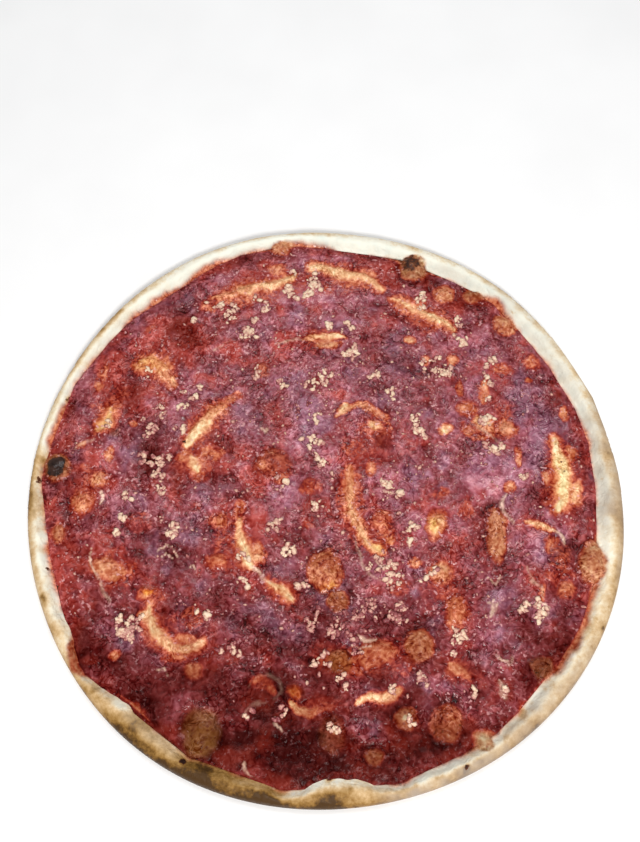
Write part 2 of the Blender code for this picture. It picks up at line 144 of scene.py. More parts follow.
# A grain of garlic: how lumpy it is, its length, width and height beside its radius, its tilt in
# radians, how high its middle lies, and how much redder it is where it is sunk
GRAIN_LUMPS = 0.3
GRAIN_LENGTH = (1.0, 1.4)
GRAIN_WIDTH = (0.75, 1.0)
GRAIN_HEIGHT = 0.6
GRAIN_TILT = 0.5
GRAIN_LIFT = 0.1
SUNK_STAIN = 0.5

# Crumbs: radii, how much the small ones outnumber the large, how many of a clump lie loose, how
# far a loose one and the next of a chain lie off, how high a clump is heaped, and how red
CRUMB_SEED = 5
CRUMB_RADIUS = (0.55, 1.6)
SMALL_CRUMBS = 1.6
LOOSE_SHARE = 0.3
CLUMP_TIGHTNESS = 0.6
NEXT_CRUMB = 1.3
HEAP_HEIGHT = 0.5
CRUMB_STAIN = (0.0, 0.6)

# Grit: how many, radii, how far out, where most lies as an ellipse, how much bare dough keeps it
# away, and how red it is
GRIT_COUNT = 1100
GRIT_RADIUS = (0.45, 1.0)
GRIT_REACH = 146
GRIT_MIDDLE = (6, 12, 100, 95)
GRIT_BARE = 0.12
GRIT_STAIN = (0.3, 0.9)

# The camera, in metres, and its lens
CAMERA_PLACE = (0.0, -0.14510743, 0.4919642)
CAMERA_FORWARD = (-0.00675696, 0.35378442, -0.93530259)
CAMERA_RIGHT = (0.99981766, 0.01909561, 0.0)
LENS = 40.62
SENSOR = 36.0

# The lights, in metres: place, width and depth, radiance, and tint
LIGHTS = {
    "window": ((0.0, 0.50, 1.15), (0.60, 0.42), 5.0, (0.90, 0.95, 1.0)),
    "key": ((0.10, -0.64, 0.84), (0.22, 0.22), 46.0, (1.0, 0.98, 0.96)),
    "front": ((0.25, -0.75, 0.95), (0.60, 0.30), 3.0, (1.0, 0.99, 0.98)),
    "left lamp": ((-0.20, 0.35, 1.15), (0.06, 0.06), 66.0, (1.0, 0.98, 0.96)),
    "right lamp": ((0.20, 0.55, 1.10), (0.06, 0.06), 66.0, (1.0, 0.98, 0.96)),
}
SKY_COLOUR = (1.0, 0.99, 0.98, 1)
SKY_STRENGTH = 0.32
FLOOR_SIZE = 3.0

# Outer wobble: waves round the rim, how far they reach, and the angle of their crest
OUTER_WAVES = (
    (1, 0.4, -141), (2, 0.76, -118), (3, 0.75, -40), (4, 0.5, -141), (5, 0.38, -142),
    (6, 0.33, -14),
)

# Lobes of the sauce's edge: angle and half width in degrees, and reach beyond SAUCE_RADIUS
SAUCE_LOBES = (
    (3, 9, -3.2), (31, 11, -3.8), (45, 3, -1.6), (65, 6, -3), (83, 7, -3.4), (107, 13, 2.6),
    (127, 4, -2.6), (143, 8, 1.2), (157, 5, 3), (172, 4, 2.8), (180, 2.5, 4.5), (219, 3, 6),
    (233, 5, -2.2), (245, 3, 2.4), (264, 3, 4.4), (273, 5, -5.8), (284, 4, 3), (304, 8, 1.6),
    (316, 4, -2.6), (350, 7, -2),
)

# Small waves in the sauce's outer edge: waves round it, how far they reach, and their phase
EDGE_WOBBLES = ((23, 0.35, 1.0), (37, 0.4, 0.4), (59, 0.3, 2.1), (83, 0.24, 4.4), (131, 0.18, 0.7))

# Blisters of the dough: centre, half width, half depth, turn in degrees, height, and from 0 to 1
# how bare the dough is and how browned
Blister = namedtuple("Blister", "x y half_width half_depth turn height bare brown")
BLISTERS = [Blister(*row) for row in (
    (-28, 146.5, 6, 4.8, 0, 3.6, 0.56, 0.35), (49, 134.5, 9, 8, 0, 5.4, 0.62, 0.6),
    (65.5, 118, 5.8, 5.5, 0, 3.7, 0.6, 0.2), (83, 117, 5.2, 4.6, 0, 3.2, 0.46, 0.3),
    (99.5, 98.5, 6.8, 6.4, 0, 4, 0.52, 0.3), (-144, 8.5, 7.6, 8, 0, 4.8, 0.42, 0.8),
    (-57.8, -124.5, 10.2, 12.6, 0, 6.2, 0.1, 0.95), (1, -44, 9.2, 11.8, 0, 5.4, 0.41, 0.3),
    (7.8, -59.5, 5.6, 5, 0, 3.2, 0.4, 0.65), (139.5, -37.5, 7.4, 12.2, -8, 5.4, 0.54, 0.5),
    (48.5, -80.5, 7.8, 8, 0, 4.6, 0.44, 0.45), (61.5, -118, 8, 9.6, 0, 4.9, 0.3, 0.4),
    (6, -124.5, 6.6, 9.5, 0, 4.2, 0.15, 0.32), (42, -116, 5.6, 5.6, 0, 3.6, 0.4, 0.5),
    (26, -134, 4.4, 4.4, 0, 3, 0.4, 0.55), (109.5, -90.5, 6.2, 4.6, 20, 3.4, 0.2, 0.8),
    (90, -23, 5.6, 14.5, 0, 4.2, 0.52, 0.4), (58.5, -18.5, 4.4, 7.2, -20, 3.4, 0.8, 0),
    (60.5, -44, 6.2, 6.2, 0, 3.8, 0.55, 0.25), (67.5, -63.5, 6, 9.6, 0, 4.2, 0.38, 0.1),
    (27.5, -85, 9.6, 7.4, 0, 4.6, 0.38, 0.2), (9.5, -89.5, 7.2, 6.4, 0, 3.8, 0.26, 0.65),
    (29.5, -17, 7.2, 5.6, 25, 4, 0.34, 0), (-55, -40.5, 7, 4.8, 0, 3.6, 0.36, 0),
    (-55, -18.5, 6, 4.2, 0, 3.2, 0.4, 0.05), (-128.5, -9.5, 7, 6, 0, 3.8, 0.46, 0),
    (-122, 3, 5.5, 4.2, 20, 3, 0.58, 0), (-28, 13, 10.5, 8.5, 0, 4.2, 0.24, 0.2),
    (-8, 1, 6, 5, 0, 3.2, 0.26, 0), (-113, -45, 8, 6, -15, 3.6, 0.46, 0.2),
    (-67, -69.5, 6.2, 5.6, 0, 3.6, 0.24, 0.1), (125, -51.5, 5.4, 5.4, 0, 3.4, 0.36, 0.2),
    (-64.5, -95.5, 4.5, 4.5, 0, 2.8, 0.42, 0.3), (77, 46.5, 4.2, 4.2, 0, 2.8, 0.44, 0),
    (98, 35.5, 5.5, 4.5, 0, 3, 0.52, 0.25), (79.5, -125.5, 4.8, 4.8, 0, 3, 0.72, 0.45),
    (-35.5, 68.5, 4.5, 4.5, 0, 2.8, 0.22, 0.2), (-138.5, -27, 4, 5.4, 0, 3, 0.46, 0.35),
    (39.5, -52, 6, 5, 0, 3.2, 0.2, 0), (123.5, -33, 6.6, 6, 0, 3.6, 0.16, 0.15),
    (-98, -20, 7.5, 6, 0, 3.2, 0.17, 0),
)]

# From which row on the blisters are half sunk in the sauce, so that their edges are softer
HALF_SUNK_FROM = 17

# Folds of the dough: half width, height, how bare the dough is at the start and at the end, how
# far the barest line lies to the left of the crest, how many millimetres of thin sauce lie round
# it, and the points of the crest line
Fold = namedtuple("Fold", "half_width height bare bare_end lean reach points")
FOLDS = [Fold(*row) for row in (
    (3.8, 3, 0.48, 0.84, 0, 8,
     ((-66, 112.5), (-57, 114.5), (-47, 118.5), (-37, 121), (-29, 124), (-20, 128))),
    (3.4, 3, 0.8, 0.72, -0.6, 6,
     ((-11, 132.5), (-4, 135), (3, 132), (10, 130), (18.5, 128.5), (26, 124.5), (31, 120))),
    (3.2, 3, 0.68, 0.8, 0.6, 6,
     ((37, 113), (42, 110.5), (47.5, 108.5), (53, 105), (60, 102), (66.5, 98.5), (71, 95))),
    (2.2, 2.8, 0.62, 0.86, -0.6, 4, ((-12.5, 88.3), (-5, 90), (2, 91), (9, 89.5))),
    (3.6, 2.9, 0.66, 0.6, -0.8, 8, ((-107, 69), (-99, 73.5), (-93, 69.5), (-87.5, 61.5))),
    (3.8, 3.1, 0.74, 0.84, -2.2, 4, ((-116, 43.5), (-117, 36.5), (-122, 30))),
    (3.4, 3.1, 0.6, 0.98, 1.5, 7, ((-56.5, 46.5), (-63, 43.5), (-68.5, 35), (-76.5, 24.5))),
    (3.2, 2.9, 0.64, 0.96, 1, 6, ((-73, 17), (-71, 12), (-69.5, 7.5))),
    (3.6, 3.2, 0.92, 0.98, -0.8, 8,
     ((124.5, 30), (126, 22), (127.7, 14), (128.3, 5), (127, -2), (124.3, -9))),
    (2.6, 3, 0.54, 0.74, 0.5, 7,
     ((12.8, 12.5), (13.3, 0), (13.5, -8.5), (15.5, -15.5), (18.5, -24), (24, -31), (30, -34))),
    (2.4, 2.9, 0.74, 0.94, -1.5, 6, ((-43, -17), (-41.7, -27), (-38.3, -36), (-35, -42.8))),
    (3, 3, 0.74, 0.78, 0.4, 5, ((-28.5, -50.5), (-22.8, -54), (-16, -58.3))),
    (2.6, 3, 0.82, 0.66, -0.8, 5,
     ((-88.5, -64), (-87, -71.5), (-80.5, -79.5), (-74, -83.8), (-67, -84), (-60, -80))),
    (2, 2.7, 0.8, 0.14, -0.6, 2, ((-16, -109.5), (-9.5, -114), (-0.5, -112.5), (8.5, -110.5))),
    (2.8, 3, 0.86, 0.66, -0.8, 3, ((17, -108), (24, -105.5), (31, -105), (38, -101.5))),
    (2.2, 2.7, 0.72, 0.74, 0.2, 3, ((107, -17), (114, -18.5), (120, -21))),
    (2.6, 2.9, 0.58, 0.36, -1.5, 5, ((65.5, -89), (69.5, -92), (73.5, -96))),
    (2.2, 2.8, 0.72, 0.34, -1.6, 2.5,
     ((5, 42), (10, 46.5), (18, 49.5), (26, 47.5), (33, 42), (37.5, 35))),
    (2.2, 2.8, 0.52, 0.48, -0.6, 4, ((87.5, 63.5), (87, 57), (86, 51))),
    (3, 2.9, 0.8, 0.5, -0.8, 6, ((83, 42), (86.5, 38.5), (91, 34))),
)]

# Thin skins and curls of dough in the sauce: half width, height, how bare, and their points
CURLS = (
    (1, 0.7, 0.6, ((97, -1), (94, -7), (95, -12), (98.5, -17))),
    (1.1, 0.9, 0.85, ((119, -20), (123, -23), (126, -28))),
    (0.9, 0.6, 0.5, ((104, -41), (108, -47), (112, -50), (113, -56))),
    (0.9, 0.7, 0.35, ((88, -58), (88, -62), (85.5, -66))),
    (0.9, 0.6, 0.45, ((88, -84.5), (91, -87.5), (93, -89), (95, -86))),
    (1.5, 0.8, 0.6, ((88, -98), (90, -102), (91, -106))),
    (0.9, 0.5, 0.12, ((-36, -103), (-33, -98), (-28, -96), (-22, -99), (-20, -104), (-23, -109))),
    (0.8, 0.5, 0.14, ((-38, -116), (-33, -111), (-27, -110))),
    (0.8, 0.5, 0.45, ((-116, -50), (-112, -57), (-108, -62))),
    (0.7, 0.5, 0.5, ((-64, 78.5), (-60, 81.5), (-56, 85))),
    (0.8, 0.5, 0.6, ((-30, 85), (-22, 87), (-13, 88))),
    (0.8, 0.5, 0.4, ((16, -28), (19, -38), (24, -46), (30, -50))),
    (0.9, 0.5, 0.7, ((-35, -43), (-32, -48), (-28, -50.5))),
    (0.9, 0.4, 0.5, ((-136, 20), (-131, 23.5), (-126, 26.5))),
    (0.8, 0.5, 0.45, ((78, 40), (84, 36), (90, 31), (95, 27))),
)

# Pale shreds, and painted highlights on glossy streaks of the sauce: half width, and their points
SHREDS_AND_GLINTS = (
    (0.8, ((87.5, -57), (86.5, -61), (84.5, -66))),
    (0.7, ((84, -58), (88, -60), (91, -57.5))),
    (0.8, ((30, 0), (34, -2), (38, -1))),
    (0.7, ((26, -38), (30, -41), (33, -39))),
    (0.9, ((-37, -42), (-34, -45), (-31, -47.5))),
    (0.8, ((-35.5, 34), (-33, 32.5), (-31.5, 35))),
    (0.8, ((18, -76), (22, -79), (27, -77))),
    (0.7, ((14, -80), (19, -82), (25, -81))),
    (1.1, ((-37, -138), (-34, -142.8), (-29, -147), (-22, -149.8))),
    (0.6, ((88, -84.5), (91, -87.5), (93, -86))),
    (0.6, ((84, -46), (88, -48), (92, -45))),
    (0.7, ((112, -58), (115, -61), (113, -65))),
    (0.7, ((-119, -3), (-118, -8), (-120, -11))),
    (0.5, ((-121, -34), (-120.5, -40), (-118, -47), (-115, -53))),
    (0.6, ((-22, -116), (-21, -120), (-18, -124))),
    (0.4, ((-87, -36), (-83, -33), (-78.5, -35), (-76, -41))),
    (0.4, ((-85.5, -39), (-82.5, -36.5), (-79.5, -39.5))),
    (0.4, ((-71, -45), (-68, -43), (-65, -45.5))),
    (0.5, ((-82, -96), (-79, -95), (-77, -98))),
)

# Flat stains where the sauce is thin: centre x and y, half width, half depth, how bare, and
# the turn in degrees where there is one
STAINS = (
    (-6, 134, 9, 6, 0.8), (-45, 119, 15, 6, 0.6, 15), (-67, 108, 8, 6, 0.5), (-30, 132, 7, 5, 0.55),
    (12, 124, 14, 4, 0.42, -10), (0, 85, 9, 4, 0.46), (55, 77, 4, 4, 0.5), (70, 76, 4, 4, 0.5),
    (65, 35.5, 5, 3, 0.75), (77, 35, 6, 5, 0.5), (84, 30.5, 6, 2.5, 0.46), (87, 39.5, 4, 3, 0.85),
    (86, 56, 2.5, 7, 0.6), (114, 75, 7, 7, 0.36), (112.8, 64, 3, 2.2, 0.55), (73, 60, 2.5, 6, 0.55),
    (97, 71, 9, 5, 0.36), (-97, 71, 10, 6, 0.62), (-87, 60, 5, 6, 0.55), (-127, 57, 3, 5, 0.55),
    (-124, 66, 4, 8, 0.4), (-120, 36, 7, 12, 0.46, -35), (-133, 22, 5, 2, 0.55, 35),
    (-117, 17, 3, 5, 0.5), (-106, 35, 3, 3, 0.5), (-62, 18, 10, 6, 0.42), (-76, 17, 6, 6, 0.42),
    (-52, 50, 7, 4, 0.34, 20), (132.8, 22, 4, 5, 0.6), (118, 9, 3.5, 5, 0.6), (133, 0, 5, 8, 0.8),
    (103, 19.4, 2.5, 7, 0.55), (99, 2, 4, 5, 0.55, 30), (20, 30, 17, 18, 0.08),
    (24, 12, 4, 5, 0.46, 20), (58.5, -18.5, 7, 9.5, 0.45, -20), (98, 36, 9, 8, 0.4),
    (-23, 6, 7, 4, 0.4, 35), (-34, 13, 3.5, 6, 0.36), (27, 37, 4.5, 4, 0.6),
    (9, 46, 4, 3, 0.85, 30), (75, -10, 6, 9, 0.3), (60, -2, 9, 6, 0.26), (47, -38, 5, 4, 0.45),
    (27.5, -31, 5, 3.2, 0.85, -15), (34, -27, 4, 4, 0.42), (118, -28, 6, 6, 0.34),
    (-36, -36, 8, 7, 0.5), (-45, -12, 5, 7, 0.3), (-85, -58, 8, 6, 0.36), (-91, -58, 5, 4, 0.6),
    (-89.5, -56, 3.5, 2.5, 0.62), (-104, -89, 4, 3, 0.45), (-72, -88, 10, 4, 0.42, 15),
    (-29, -101, 7, 5, 0.3), (-32, -99, 6, 3.6, 0.5, 10), (-25, -104, 5, 2.4, 0.3, -50),
    (-89, -62, 4.5, 5, 0.5), (-91, -69, 3, 3, 0.66), (-70, -79.5, 8, 3.6, 0.56, -10),
    (-13, -105, 5.5, 4.5, 0.52), (-109, -46, 11, 7, 0.5, -25), (-8.3, -19.4, 5, 5, 0.26),
    (-69, -11.7, 6, 6, 0.18), (112.8, -52.8, 2.5, 6, 0.5), (46, 88, 3.5, 3.5, 0.5),
    (20, -90, 22, 8, 0.3, 5), (144, -36, 3, 8, 0.85, -8), (141.5, -32, 1.6, 4, 0.8, -15),
    (138, -42, 2.4, 2.2, 0.72), (42, -115.5, 2.2, 2.4, 0.9), (7, -122.5, 1.6, 2, 0.9),
    (30, -19, 10, 11, 0.3), (-26, 10, 12, 10, 0.24), (-10, 122, 62, 15, 0.2, 4),
    (52, 104, 24, 14, 0.2, -30), (-98, 66, 20, 15, 0.16, -30), (-120, 42, 13, 28, 0.22, -20),
    (-70, 18, 17, 17, 0.24), (-66, 38, 14, 20, 0.18, -30), (22, 30, 26, 26, 0.2),
    (24, -18, 20, 24, 0.2), (-46, -30, 20, 24, 0.2), (-108, -46, 20, 16, 0.22, -20),
    (-128, -5, 13, 20, 0.22), (62, -50, 18, 26, 0.2), (90, -24, 12, 22, 0.18),
    (126, 8, 16, 30, 0.22), (122, -42, 14, 16, 0.2), (20, -88, 42, 14, 0.22, 4),
    (-2, -111, 20, 6, 0.2, 4), (-74, -78, 24, 20, 0.18, -30), (70, -92, 16, 12, 0.2, -30),
    (88, 46, 22, 20, 0.2), (66, 108, 22, 14, 0.16, -30), (-102, 92, 8, 3, 0.22, 30),
    (130, 45, 3, 5, 0.5), (-95, 118, 6, 3, 0.5, 50), (82, 118, 7, 3, 0.45, -50),
    (140, -70, 4, 8, 0.4, -30), (-90, -115, 5, 3, 0.45, -40), (100, -110, 5, 3, 0.4, 45),
)

# Darker and paler places of the sauce, partly its own colour, partly painted sheen where paler
# and painted shade where darker: centre x and y, half width, half depth, how much paler
TONES = (
    (-83, 88, 13, 10, -0.26), (-108, 52, 9, 14, -0.3), (-142, 30, 8, 24, -0.1),
    (-132, -30, 9, 24, -0.1), (38, 74, 16, 9, -0.16), (26, 60, 14, 9, -0.14),
    (-8, -62, 22, 14, -0.16), (-46, -62, 16, 14, -0.14), (-4, -138, 22, 12, -0.25),
    (-28, -120, 26, 12, -0.12), (85, 118, 9, 5, -0.1), (60, 132, 22, 7, -0.06),
    (126, -60, 12, 14, 0.1), (31, 27, 6, 8, -0.3), (30, -98, 12, 5, -0.1), (100, -92, 16, 10, 0.02),
    (-22, -4, 15, 13, 0.3), (-48, 34, 12, 14, 0.06), (2, 16, 9, 9, 0.26), (-10, 42, 10, 12, 0.12),
    (-62, 78, 20, 22, -0.05), (-98, 14, 14, 28, 0.04), (-60, -2, 12, 16, 0.04),
    (72, 14, 24, 17, 0.04), (66, 90, 20, 9, 0.16), (82, 60, 8, 10, 0.36), (4, 102, 34, 10, 0.04),
    (108, 60, 16, 20, 0.12), (92, -106, 24, 14, 0.14), (44, -24, 9, 16, 0.18),
    (84, -62, 14, 18, 0.16), (112, -66, 9, 9, 0.2), (60, -100, 12, 6, 0.34),
    (-92, -98, 26, 14, 0.06), (-46, -112, 28, 14, 0.04), (-24, -74, 14, 8, 0.02),
    (24, -68, 20, 10, -0.08), (-82, -38, 12, 8, 0.04), (84, -82, 26, 14, 0.26),
    (-104, -78, 16, 12, 0.2), (-78, 12, 30, 22, -0.18), (-70, -26, 20, 18, -0.16),
    (-8, 14, 22, 16, 0.2), (34, 0, 18, 14, 0.18), (92, 10, 20, 16, 0.32), (114, 34, 16, 20, 0.13),
    (72, 40, 18, 10, 0.18), (112, -28, 14, 14, 0.28), (64, -16, 16, 12, 0.24),
    (2, -24, 14, 10, 0.1), (-60, -80, 12, 10, -0.1), (-24, 120, 60, 14, 0.44),
    (42, 118, 16, 8, 0.2), (-102, -62, 10, 8, 0.08), (-86, -86, 18, 12, 0.08),
    (60, -110, 16, 14, 0.12), (-78, -60, 12, 8, -0.08), (-20, 100, 16, 10, 0.22),
    (122, -18, 10, 10, 0.32), (100, -42, 10, 10, 0.18), (114, 0, 9, 9, -0.3),
    (-80, 60, 12, 10, 0.2), (-50, 20, 12, 10, -0.12), (82, 0, 12, 10, 0.28),
    (110, 36, 14, 10, 0.14), (-92, -20, 12, 12, -0.14), (60, -62, 10, 12, 0.16),
    (-20, 20, 8, 8, 0.14), (124, -40, 7, 8, -0.16), (-98, 30, 12, 16, -0.2),
    (120, -18, 10, 10, 0.24), (60, -100, 14, 10, 0.14), (20, 0, 10, 12, 0.14),
    (-20, -30, 10, 8, -0.06), (-10, 2, 8, 8, 0.14), (20, -104, 14, 8, 0.16),
    (20, -120, 14, 8, 0.24), (60, -80, 10, 8, 0.2), (60, -22, 10, 8, 0.24), (-40, 122, 14, 7, 0.2),
    (0, 139, 14, 5, 0.3), (80, 38, 10, 8, 0.16), (-20, -100, 12, 9, -0.2), (16, 32, 9, 9, 0.26),
    (-29, 21, 6, 4, -0.3), (20, -20, 7, 12, 0.12), (-40, -119, 9, 6, 0.24),
    (-44, -135, 16, 7, -0.4), (-128, 0, 12, 12, -0.22),
)

# Redder and bluer places of the sauce, the bluer ones painted sheen of cool light: centre x and
# y, half width, half depth, how much redder
HUES = (
    (-85, 86, 24, 20, 0.5), (-122, 66, 12, 22, 0.3), (-40, 128, 40, 12, 0.22),
    (30, 130, 40, 12, 0.22), (80, 108, 24, 12, 0.2), (-42, -22, 14, 16, 0.3),
    (22, 30, 18, 18, 0.14), (30, -20, 12, 12, 0.34), (-62, 20, 20, 12, 0.26),
    (-28, 13, 14, 12, 0.24), (-108, -40, 16, 18, 0.22), (110, 86, 12, 14, -0.06),
    (-10, 88, 24, 8, 0.3), (-22, -6, 15, 12, -0.06), (-8, 40, 14, 16, -0.2),
    (-44, 36, 9, 12, -0.26), (44, 74, 16, 12, -0.2), (76, 14, 22, 15, -0.22),
    (94, -66, 16, 20, -0.24), (44, -24, 10, 14, 0.12), (108, 56, 14, 18, -0.22),
    (-76, -36, 14, 12, -0.24), (-34, -72, 22, 10, -0.22), (18, -66, 30, 10, -0.18),
    (-100, 18, 12, 22, -0.16), (-60, 84, 12, 14, 0.1), (-66, -8, 10, 12, -0.2),
    (-44, 82, 28, 12, 0.24), (-36, 4, 12, 12, 0.34), (54, -16, 14, 12, 0.14),
    (122, 22, 14, 34, -0.85), (-86, -84, 26, 16, -0.8), (-4, -82, 24, 12, -0.7),
    (38, -102, 18, 16, -0.8), (-96, 50, 14, 16, 0.18), (-118, -4, 10, 16, 0.14),
    (20, -34, 10, 12, -0.2), (-60, 102, 14, 10, 0.14), (-8, -138, 22, 9, -0.34),
    (-80, -102, 18, 14, -0.44), (120, -32, 12, 16, -0.6), (80, 60, 12, 10, -0.34),
    (-40, -120, 16, 10, -0.28), (22, -122, 12, 8, -0.28), (62, 80, 14, 8, 0.24),
    (0, 60, 12, 10, 0.24), (-102, 40, 10, 10, 0.24), (16, -50, 12, 12, -0.2),
    (60, -62, 8, 12, -0.2), (64, 100, 12, 8, -0.2), (100, 42, 10, 10, -0.4), (20, -16, 8, 12, -0.2),
)

# Patches of yellow oil: centre x and y, half width, half depth, how yellow, and any turn
OILS = (
    (-90, -55.5, 4, 2.8, 1), (-13, -105, 5, 4, 0.9), (3, -53, 6.5, 3.5, 0.9, 20),
    (56, -17, 3.5, 5.5, 0.5), (-116, 30, 4, 3, 0.6), (-98, 71, 10, 6, 0.35),
    (-121, 40, 5, 12, 0.3, -30), (8, -90, 12, 6, 0.35), (-57, -128, 10, 8, 0.5),
    (30, -30, 6, 4, 0.35), (126, 8, 6, 16, 0.2),
)

# Clumps of garlic: centre x and y, how far they spread, and how many crumbs
CLUMPS = (
    (-22, 118, 3.5, 26), (-12, 116, 2.5, 20), (-19, 112, 2, 10), (-8, 124, 5, 40), (-20, 130, 2, 8),
    (-36, 107, 1.8, 10), (-40, 111, 3, 6), (-58, 105, 6, 30), (-62, 108, 3, 14), (-42, 98, 2.5, 14),
    (-47, 91, 3.5, 24), (-75, 101, 2, 10), (-83, 124, 3, 18), (-35, 145, 1.8, 8), (54, 113, 3, 22),
    (52, 108, 1.8, 10), (73, 98, 2.5, 14), (76, 87, 2.8, 20), (15, 79, 6, 50), (10, 96, 3, 16),
    (0, 97, 2, 8), (63, 69, 6.5, 50), (54, 73, 3, 10), (0, 65, 4.5, 26), (-8, 62, 3, 14),
    (-23, 60, 2, 10), (-39, 66, 2.5, 14), (27, 65, 3, 12), (36, 55, 3, 12), (90, 75, 3, 16),
    (88, 64, 2.5, 12), (88, 54, 2, 8), (86, 41, 3, 32), (51.5, 35, 2.8, 46), (46, 40, 3, 14),
    (91, 24, 4, 26), (33, 3, 5, 30), (38, -2, 3, 14), (104, 8, 3, 12), (-6, 26, 4, 24),
    (-2, 17, 3, 14), (-5, 42, 3, 12), (-20, 4, 3, 10), (-78.5, -24, 2.6, 32), (-104, -7, 2.4, 12),
    (-88, -1, 3, 18), (-90, 6, 3, 18), (-92, 14, 4, 24), (-98, 14, 3, 14), (-84, 16, 3, 12),
    (-108, -18, 2, 10), (-110, -26, 2, 8), (-98, 30, 3.5, 18), (-93, 34, 3, 12), (-92, 42, 3, 14),
    (-80, 46, 3, 10), (-75, 53, 4, 16), (-78, 32, 2, 10), (-20, -35, 3.5, 20), (-41, -51, 2, 10),
    (-43, -38, 2.5, 12), (-6, -10, 3.5, 14), (-27, -22, 3.5, 14), (28, -39, 5, 40),
    (36, -46, 4, 28), (46, -22, 3.5, 16), (44, -28, 2.5, 8), (-12, -52, 2.5, 10),
    (50, -48, 2.5, 12), (24, -66, 7, 64), (8, -74, 6, 54), (38, -66, 5, 36), (18, -76, 5, 40),
    (-6, -72, 5, 22), (-2, -93, 3.5, 14), (12, -98, 3, 10), (-99, -77, 3.6, 110), (-103, -70, 2, 8),
    (-60, -66, 3, 12), (-46, -84, 3, 20), (-36, -115, 2, 6), (-18, -116, 2.5, 10),
    (49, -98, 3.5, 22), (34, -101, 3, 16), (67, -75, 3, 24), (66, -83, 3, 10), (90, -101, 1.2, 6),
    (110, -63, 4, 26), (103, -60, 3, 12), (42, -116, 2, 14), (6, -122, 1.6, 10), (75, -104, 2, 6),
    (-118, 34, 2, 6), (-100, 66, 3, 8),
)

# Where the garlic is redder and darker: centre x and y, half width, half depth, how much
DARKER_GARLIC = (
    (18, -66, 40, 26, 0.46), (-46, -84, 14, 12, 0.24), (49, -98, 12, 10, 0.28),
    (-20, -114, 20, 8, 0.3), (-99, -77, 9, 9, 0.1), (-93, 16, 18, 28, 0.24),
    (-30, -24, 12, 14, 0.2),
)

# Browning round the rim: angle and half width in degrees, from and to which share of the rim's
# width, and how much
BAKED = (
    (0, 12, 0.4, 1.1, 0.16), (12, 8, 0.3, 1.1, 0.08), (36, 16, 0.3, 1.1, -0.08),
    (68, 18, 0.3, 1.1, -0.16), (84, 8, 0.3, 1.1, -0.1), (128, 12, 0.4, 1.1, -0.18),
    (102, 26, -0.2, 1.1, -0.09), (144, 14, 0.5, 1.1, 0.12), (161, 12, 0.4, 1.1, -0.04),
    (181, 9, -0.2, 1.1, 0.38), (204, 14, 0.2, 1.1, 0.12), (229, 12, -0.2, 1.1, 0.28),
    (242, 12, 0.1, 1.1, 0.28), (253, 13, -0.2, 1.1, 0.54), (266, 12, 0.45, 1.1, 0.38),
    (278, 12, 0.3, 1.1, 0.25), (289, 10, 0.4, 1.1, 0.1), (302, 12, 0.5, 1.1, 0.18),
    (314, 9, -0.2, 1.1, 0.14), (336, 12, -0.2, 0.9, 0.12), (349, 8, 0.65, 1.1, 0.14),
    (318, 38, 0.86, 1.3, 0.16), (131, 9, 0.3, 1.1, 0.05),
)

# Greyer stretches of the rim: painted shade across the right side, from 0 to 60 degrees, and dusty
# grey round the lower right. Angle and half width in degrees, from and to which share of the rim's
# width, and how much
DULLED = (
    (0, 9, 0, 1.2, 0.5), (13, 8, 0, 1.2, 0.36), (25, 8, 0.1, 0.6, 0.3), (37, 8, 0.1, 0.8, 0.24),
    (48, 8, 0.3, 1.2, 0.26), (60, 8, 0, 0.5, 0.28), (288, 8, 0.55, 1.2, 0.6),
    (300, 8, 0.5, 1.2, 0.56), (312, 8, 0.2, 1.2, 0.46), (324, 8, 0.5, 1.2, 0.5),
    (336, 8, 0.5, 1.2, 0.16), (348, 8, 0.7, 1.2, 0.4),
)

# Thin sauce smeared on the rim's inner slope: angle and half width in degrees, and how far
SMEARS = (
    (48, 6, 3), (96, 8, 2.6), (108, 8, 1.2), (120, 8, 2.6), (133, 8, 3.2), (150, 8, 0.8),
    (167, 6, 3), (194, 14, 1.2), (216, 4, 5.2), (232, 8, 1), (304, 8, 0.6), (324, 6, 4),
    (336, 9, 2.8), (12, 6, 1.2),
)

# Flour on the rim's inner slope: angle and half width in degrees, to which share, and how much
FLOURED = (
    (62, 34, 0.56, 0.95), (18, 24, 0.48, 0.65), (0, 14, 0.36, 0.35), (100, 24, 0.6, 1),
    (140, 34, 0.55, 0.6), (194, 16, 0.6, 0.8), (227, 8, 0.45, 0.7), (236, 7, 0.5, 0.6),
    (289, 9, 0.55, 0.7), (312, 14, 0.45, 0.55), (348, 10, 0.5, 0.35),
)

